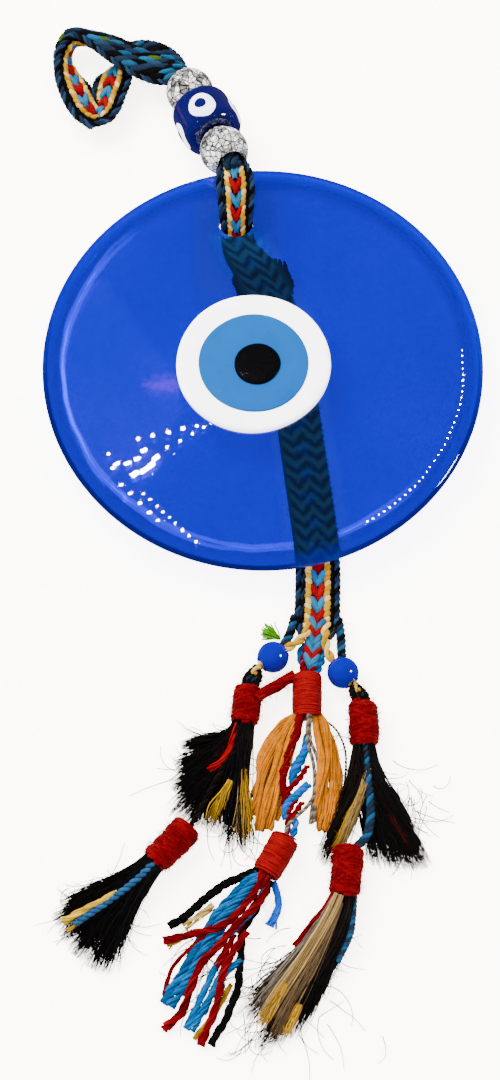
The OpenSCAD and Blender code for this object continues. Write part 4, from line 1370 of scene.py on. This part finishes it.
centre_pieces = (
    ("red_roving", centre_red, "centre_red_strand", "dark_red_wool"),
    ("blue_strands", centre_blue, "centre_blue_strand", "blue_wool"),
    ("grey_cords", centre_grey, "centre_grey_cords", "grey_wool"),
)
for name, build, node, slot in centre_pieces:
    piece = yarn_piece(name, None, WOOL, slot, [node], build)
    point(7.9, -128.4, 4)
    point(6.7, -130.5, 4)
    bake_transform(piece)

# ---------------------------------------------------------------- upper right tassel


def right_black(s):
    brown = (
        (16.4, -134.8, 130, 1.6), (19.4, -131.5, 110, 1.8), (22.6, -127.0, 70, 1.4),
    )
    black = (
        (29.0, -135.0, 90, 1.8), (32.0, -135.8, 120, 2.0), (35.2, -136.2, 130, 2.2), (38.6, -136.2, 130, 2.0),
        (41.0, -135.8, 90, 1.4), (38.2, -128.0, 60, 1.4),
    )
    fringe(s, [26.6, -106.0, 3.9], (0, -1), brown, black, 8, bow=(0.2, 0.5))
    strays(s, (36, -120), (0.7, -0.7), 16, 11)
    strays(s, (24, -110), (-0.4, -0.9), 8, 9)
    lock(s, [31, -121, 4], (0.6, -1), [37.4, -132.6, 2.6], 14, RED, 0.5, 0.7, thick=0.12, z=(2.8, 0.3))


yarn_piece("fringe_right", "right_tassel", HAIR, "black_wool", ["right_fringe"], right_black)


def right_gold_lock(s):
    lock(s, [27.6, -113, 5.2], (-0.2, -1), [19.8, -133, 2.4], 70, TAN, 0.9, 1.2, thick=0.13, z=(2.8, 0.6))
    lock(s, [26.8, -116, 5.0], (-0.3, -1), [18.8, -133, 2.4], 36, GOLD, 0.6, 0.9, thick=0.13, z=(3.0, 0.5))


yarn_piece("gold_lock_right", "right_tassel", WOOL, "gold_wool", ["right_gold_strand"], right_gold_lock)
string_r = [[27, -106.4, 5.6], [27.6, -117, 5.0], [28.0, -124.4, 4.6], [27.0, -130, 4.6],
    [24.2, -133.4, 4.4], [22.4, -135, 4.2]]
navy_string = yarn_piece("string_right", None, WOOL, "navy_wool", ["right_string"],
                         lambda s: plied(s, string_r, 1.15, [NAVY, TEAL, NAVY], 5))
point(22.4, -131.2, 4.2)
point(22.2, -133.2, 4.2)
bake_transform(navy_string)

# ---------------------------------------------------------------- lower left tassel


def lower_left_black(s):
    black = (
        (-48.6, -147.2, 110, 1.8), (-50.4, -150.6, 120, 1.8), (-48.2, -155.0, 120, 2.0),
        (-45.4, -158.8, 120, 2.0), (-41.2, -162.0, 120, 2.0), (-38.2, -162.6, 100, 1.6),
        (-35.4, -156.0, 70, 1.5), (-44.4, -151.0, 90, 2.4),
    )
    fringe(s, [-26.6, -136.8, 3.9], (-0.687, -0.726), (), black, 7)
    strays(s, (-42, -148), (-0.8, -0.4), 14, 9)
    strays(s, (-36, -152), (0.5, -0.8), 8, 10)


yarn_piece("fringe_lower_left", "lower_left_tassel", HAIR, "black_wool", ["lower_left_fringe"],
    lower_left_black)
blue_ll = [[-27.0, -138.0, 6.2], [-31.6, -142.6, 6.0], [-38, -147.4, 5.2], [-46.6, -153, 3.6]]
yarn_piece("blue_yarn_lower_left", "lower_left_tassel", WOOL, "blue_wool", ["lower_left_blue_yarn"],
           spun(blue_ll, 0.9, [(0.008, 0.030, 0.075), (0.010, 0.045, 0.110)], 3.6, (0.8, NAVY, 2, 1)))


def lower_left_gold(s):
    long_yarn = [[-36, -145, 5.4], [-42, -148.6, 4.8], [-49.6, -152, 3.4]]
    roving(s, long_yarn, 1.0, (0.28, 0.17, 0.008), 14, 14, fray=0.6)
    roving(s, [[-44, -151.4, 3.4], [-48.4, -154.6, 2.6]], 0.7, GOLD, 9, 14)


yarn_piece("gold_yarn_lower_left", "lower_left_tassel", WOOL, "gold_wool", ["lower_left_gold_yarn"],
           lower_left_gold)

# ---------------------------------------------------------------- lower middle tassel


def lower_centre_black(s):
    a = [[-0.4, -139.2, 4.4], [-4, -140.6, 4.2], [-9, -142.8, 3.6], [-14.5, -146.8, 3.0],
        [-18.6, -150.4, 2.4], [-23, -153, 1.6]]
    b = [[2.4, -142, 4.0], [-0.2, -147.5, 4.0], [-3, -151.8, 3.4], [-4.8, -156, 3.0], [-5.2, -164, 2.6],
        [-6, -169.4, 2.2], [-8.6, -176, 1.8], [-12.3, -182.6, 1.4]]
    for route in (a, b):
        roving(s, route, 1.15, BLACK, 18, 9)
        fuzz(s, route, 1.0, BROWN, 5, 1.6)
    roving(s, [[-12, -147.6, 2.0], [-16.4, -151.2, 1.8], [-19.2, -153.2, 1.5]], 0.9, CREAM, 10, 12, fray=0.6)
    roving(s, [[-17, -154.2, 1.6], [-20.6, -156.4, 1.4], [-23.4, -158, 1.2]], 0.8, GOLD, 9, 12, fray=0.6)
    roving(s, [[-7.4, -167.6, 1.6], [-10.2, -172.8, 1.4], [-13.6, -177.6, 1.2], [-16.4, -181.2, 1.1]], 0.75,
        GOLD, 10, 12, fray=0.5)
    strays(s, (-10, -160), (-0.5, -0.8), 16, 14)


def lower_centre_blue(s):
    for route, r in (
        ([[-0.6, -140.2, 4.6], [-5.2, -144, 4.0], [-9, -148, 3.4], [-12, -152, 3.0], [-15.4, -157.4, 2.6],
         [-19, -164, 2.2], [-24, -172.4, 1.6]], 1.35),
        ([[-0.2, -141, 5.0], [-4.4, -145.6, 4.6], [-8.4, -150, 4.0], [-13, -157, 3.2], [-17, -164.6, 2.6],
         [-22.6, -173, 1.8]], 1.35),
        ([[0, -141.6, 4.0], [-4, -147, 3.6], [-9.6, -153.6, 2.8], [-15.6, -162.6, 2.2], [-20, -170, 1.6]],
         1.3),
        ([[1.6, -141, 5.0], [-0.4, -147.4, 5.2], [-5, -152.8, 4.8], [-10.4, -157.8, 4.2]], 0.9),
        ([[-5, -161.8, 3.0], [-9.8, -166.4, 3.0], [-13.4, -172.6, 2.4], [-17.4, -179, 1.6]], 0.95),
        ([[-9.4, -160.6, 3.2], [-13.2, -167.4, 2.8], [-15.8, -173.6, 2.2], [-18.6, -178.6, 1.5]], 0.95),
        ([[-8.6, -162.6, 2.6], [-11.6, -168.6, 2.4], [-14.4, -175, 1.8]], 0.85),
    ):
        roving(s, route, r, BLUE, 18, 11, fray=0.5, shade=0.2)
        fuzz(s, route, r * 0.8, BLUE, 1.5, 1.0)


def lower_centre_red(s):
    for route, r in (
        ([[0.6, -140, 6.0], [-1.6, -145.6, 6.0], [-6, -150.8, 5.4], [-11, -154.2, 5.0],
         [-17.6, -155.6, 4.0], [-24.2, -157, 2.4]], 1.0),
        ([[1.8, -141.4, 5.6], [0.2, -147, 5.8], [-5, -152.4, 5.6], [-10.8, -159, 5.0], [-15, -163.6, 4.4],
         [-17.6, -169.4, 3.6], [-19.2, -174.4, 3.0], [-23.4, -178.2, 1.8]], 1.1),
        ([[-8.4, -151.4, 4.2], [-14.6, -156.4, 3.6], [-19.4, -160.6, 3.0], [-22.4, -164.4, 2.4],
         [-24, -170.4, 1.6]], 0.55),
        ([[-3.4, -155, 4.0], [-8.4, -162.6, 4.0], [-10.2, -169.2, 3.2], [-11.8, -175.2, 2.6],
         [-14.8, -182.8, 1.6]], 1.05),
        ([[-6.6, -155.6, 3.8], [-8.8, -160, 4.2], [-11.2, -163.6, 3.6]], 0.9),
        ([[2.2, -142, 4.4], [-1.8, -148.4, 4.6], [-6.4, -155, 4.2]], 0.8),
    ):
        roving(s, route, r, RED, 16, 12, fray=0.4, shade=0.2)
        fuzz(s, route, r * 0.8, RED, 3, 1.2)
    roving(s, [[-23, -177.8, 1.8], [-24, -178.8, 1.4]], 1.0, SCARLET, 14, 12, fray=0.8)


lower_centre = (
    ("black_yarns_lower_centre", lower_centre_black, "lower_centre_black_yarns", "black_wool"),
    ("blue_yarns_lower_centre", lower_centre_blue, "lower_centre_blue_yarns", "blue_wool"),
    ("red_yarns_lower_centre", lower_centre_red, "lower_centre_red_yarns", "dark_red_wool"),
)
for name, build, node, slot in lower_centre:
    yarn_piece(name, "lower_centre_tassel", WOOL, slot, [node], build)


def lower_centre_tuft(s):
    core = [[3.2, -142, 3.4], [4.2, -145.6, 2.8], [4.2, -149, 2.0], [2.4, -153, 1.2]]
    roving(s, core, 1.0, PALE_BLUE, 18, 14, fray=1.0)
    fuzz(s, [[3.2, -142, 3.4], [4.2, -147, 2.4], [2.4, -153, 1.4]], 0.9, PALE_BLUE, 8, 1.3)


yarn_piece("blue_tuft_lower_centre", "lower_centre_tassel", FELT, "blue_wool", ["lower_centre_blue_tuft"],
           lower_centre_tuft)

# ---------------------------------------------------------------- lower right tassel


def lower_right_black(s):
    brown = (
        (-3.0, -175.0, 90, 2.6), (1.0, -181.4, 110, 2.0), (-0.6, -170.4, 50, 2.2),
    )
    black = (
        (4.6, -180.4, 90, 2.0), (8.4, -178.2, 110, 1.6), (11.6, -174.6, 110, 1.5), (14.6, -169.2, 100, 1.3),
        (17.4, -163.4, 80, 1.1),
    )
    fringe(s, [21.0, -145.6, 3.9], (-0.087, -0.996), brown, black, 8, bow=(0.4, 0.5), ragged=0.07)
    strays(s, (4, -166), (-1, -0.15), 18, 10, spread=0.3)
    strays(s, (0, -176), (-0.6, -0.8), 14, 9, spread=0.6)
    strays(s, (14, -176), (0.8, -0.5), 6, 14, spread=0.6)


yarn_piece("fringe_lower_right", "lower_right_tassel", HAIR, "black_wool", ["lower_right_fringe"],
    lower_right_black)


def tan_locks(s):
    lock(s, [19.6, -146.2, 6.2], (-0.4, -1), [0.6, -176.6, 3], 120, TAN, 1.4, 1.8, thick=0.15, z=(3.0, 0.8),
        ragged=0.05)
    lock(s, [18.8, -147.0, 5.6], (-0.5, -1), [-1.0, -174.0, 2.4], 80, GREY, 1.2, 2.2, thick=0.13,
        z=(2.8, 0.8), ragged=0.08)
    lock(s, [19.8, -148.0, 5.8], (-0.4, -1), [3.4, -180.0, 2.6], 80, (0.075, 0.045, 0.02), 1.0, 1.6,
        thick=0.14, z=(2.8, 0.7), ragged=0.05)
    lock(s, [6.0, -168.0, 4.4], (-0.6, -1), [-0.2, -177.6, 2.6], 50, GOLD, 1.0, 1.3, thick=0.17,
        z=(3.0, 0.5), ragged=0.05)
    lock(s, [9.6, -173.0, 3.4], (-0.5, -1), [5.6, -180.6, 2.0], 30, GOLD, 0.8, 0.9, thick=0.16,
        z=(2.2, 0.4), ragged=0.05)


yarn_piece("tan_locks", "lower_right_tassel", HAIR, "tan_hair", ["lower_right_tan_strands"], tan_locks)
red_lr = [[18.2, -146.2, 5.2], [15.6, -149.8, 5.0], [12.4, -153.6, 4.4], [8.9, -158.8, 3.4]]
yarn_piece("red_lock_lower_right", "lower_right_tassel", FELT, "dark_red_wool", ["lower_right_red_yarn"],
           drawn(red_lr, 1.0, RED, 18, 20, 0.8, (0.8, RED, 7, 1.6)))
navy_lr = [[23.4, -146.4, 4.8], [23.0, -151, 5.0], [22.2, -156, 4.6], [19.0, -162.4, 3.6]]
yarn_piece("navy_yarn_lower_right", "lower_right_tassel", WOOL, "navy_wool", ["lower_right_navy_yarn"],
           spun(navy_lr, 0.9, [NAVY, TEAL, STEEL], 3.4, (0.8, NAVY, 3, 1.2)))

# ---------------------------------------------------------------- table and light

FLOOR = 3.0  # half the table's side, in metres
floor_me = bpy.data.meshes.new("table")
corners = [(x * FLOOR, y * FLOOR, 0) for x, y in ((-1, -1), (1, -1), (1, 1), (-1, 1))]
floor_me.from_pydata(corners, [], [(0, 1, 2, 3)])
floor = bpy.data.objects.new("table", floor_me)
floor.data.materials.append(table_paper())
bpy.context.scene.collection.objects.link(floor)
floor.visible_glossy = False


def area_light(name, at, target, size, watts, colour=(1, 1, 1)):
    data = bpy.data.lights.new(name, "AREA")
    data.shape = "RECTANGLE"
    data.size, data.size_y = size
    data.energy = watts
    data.color = colour
    obj = bpy.data.objects.new(name, data)
    obj.location = at
    obj.rotation_euler = (Vector(target) - Vector(at)).to_track_quat("-Z", "Y").to_euler()
    bpy.context.scene.collection.objects.link(obj)
    return obj


window = area_light("window", (-0.55, 0.55, 0.95), (0, 0, 0), (0.8, 0.8), 62.0, (1.0, 0.99, 0.97))
window.visible_glossy = False


def glint(u, v, size, turn=45.0, gleam=900.0):
    """A small lamp over the disc, placed so that the camera sees its image in the flat glass at u, v in mm.

    From other sides the images fall elsewhere on the glass, or miss it.
    """
    at = np.asarray(point(u, v, TOP))
    mirrored = (2 * at[0] - CAMERA_AT[0], 2 * at[1] - CAMERA_AT[1], CAMERA_AT[2])
    w, h = size[0] * 0.002, size[1] * 0.002
    lamp = area_light("glint", mirrored, (mirrored[0], mirrored[1], 0), (w, h), gleam * math.pi * w * h)
    lamp.rotation_euler = (0, 0, math.radians(turn))


def glints(start, end, count, size, bow=0.0, turn=45.0):
    """A row of glints, bowed to one side."""
    for t in np.linspace(0, 1, count):
        u = start[0] + (end[0] - start[0]) * t - (end[1] - start[1]) * bow * math.sin(math.pi * t)
        v = start[1] + (end[1] - start[1]) * t + (end[0] - start[0]) * bow * math.sin(math.pi * t)
        glint(u, v, size, turn)


glints((-38.4, -29.4), (-31.0, -25.4), 4, (1.7, 0.8), bow=-0.18, turn=28)
glints((-33.4, -32.4), (-27.6, -27.6), 4, (2.2, 1.2), bow=-0.12, turn=40)
glints((-40.6, -26.4), (-39.4, -30.8), 2, (0.7, 0.7))
glints((-32.6, -21.8), (-13.0, -17.2), 6, (0.8, 0.8))
glints((-25.0, -24.6), (-15.0, -18.6), 4, (0.6, 0.6))
glints((-37.0, -35.6), (-27.0, -46.0), 5, (0.9, 0.5), turn=20)
glints((-31.0, -38.2), (-17.0, -52.0), 9, (0.6, 0.4), turn=20)
GLINT_ARC_R = 54.8
for u, v in arc(*GLASS_AT, GLINT_ARC_R, 3.5, -60, 34):
    glint(u, v, (0.32, 0.32))

pane = area_light("pane", (0.60, -0.04, 0.36), (0, 0, 0), (0.12, 0.14), 6.0)
pane.visible_diffuse = False

# a bright room, which glossy surfaces see much dimmer
ROOM_LIGHT, REFLECTED_LIGHT = 3.7, 0.12
world = bpy.data.worlds.new("room")
world.use_nodes = True
tree = world.node_tree
room = tree.nodes["Background"]
room.inputs["Color"].default_value = (1.0, 0.985, 0.97, 1)
room.inputs["Strength"].default_value = ROOM_LIGHT
dim = tree.nodes.new("ShaderNodeBackground")
dim.inputs["Color"].default_value = (0.9, 0.95, 1.0, 1)
dim.inputs["Strength"].default_value = REFLECTED_LIGHT
ray = tree.nodes.new("ShaderNodeLightPath")
choose = tree.nodes.new("ShaderNodeMixShader")
tree.links.new(ray.outputs["Is Glossy Ray"], choose.inputs[0])
tree.links.new(room.outputs[0], choose.inputs[1])
tree.links.new(dim.outputs[0], choose.inputs[2])
tree.links.new(choose.outputs[0], tree.nodes["World Output"].inputs["Surface"])
bpy.context.scene.world = world
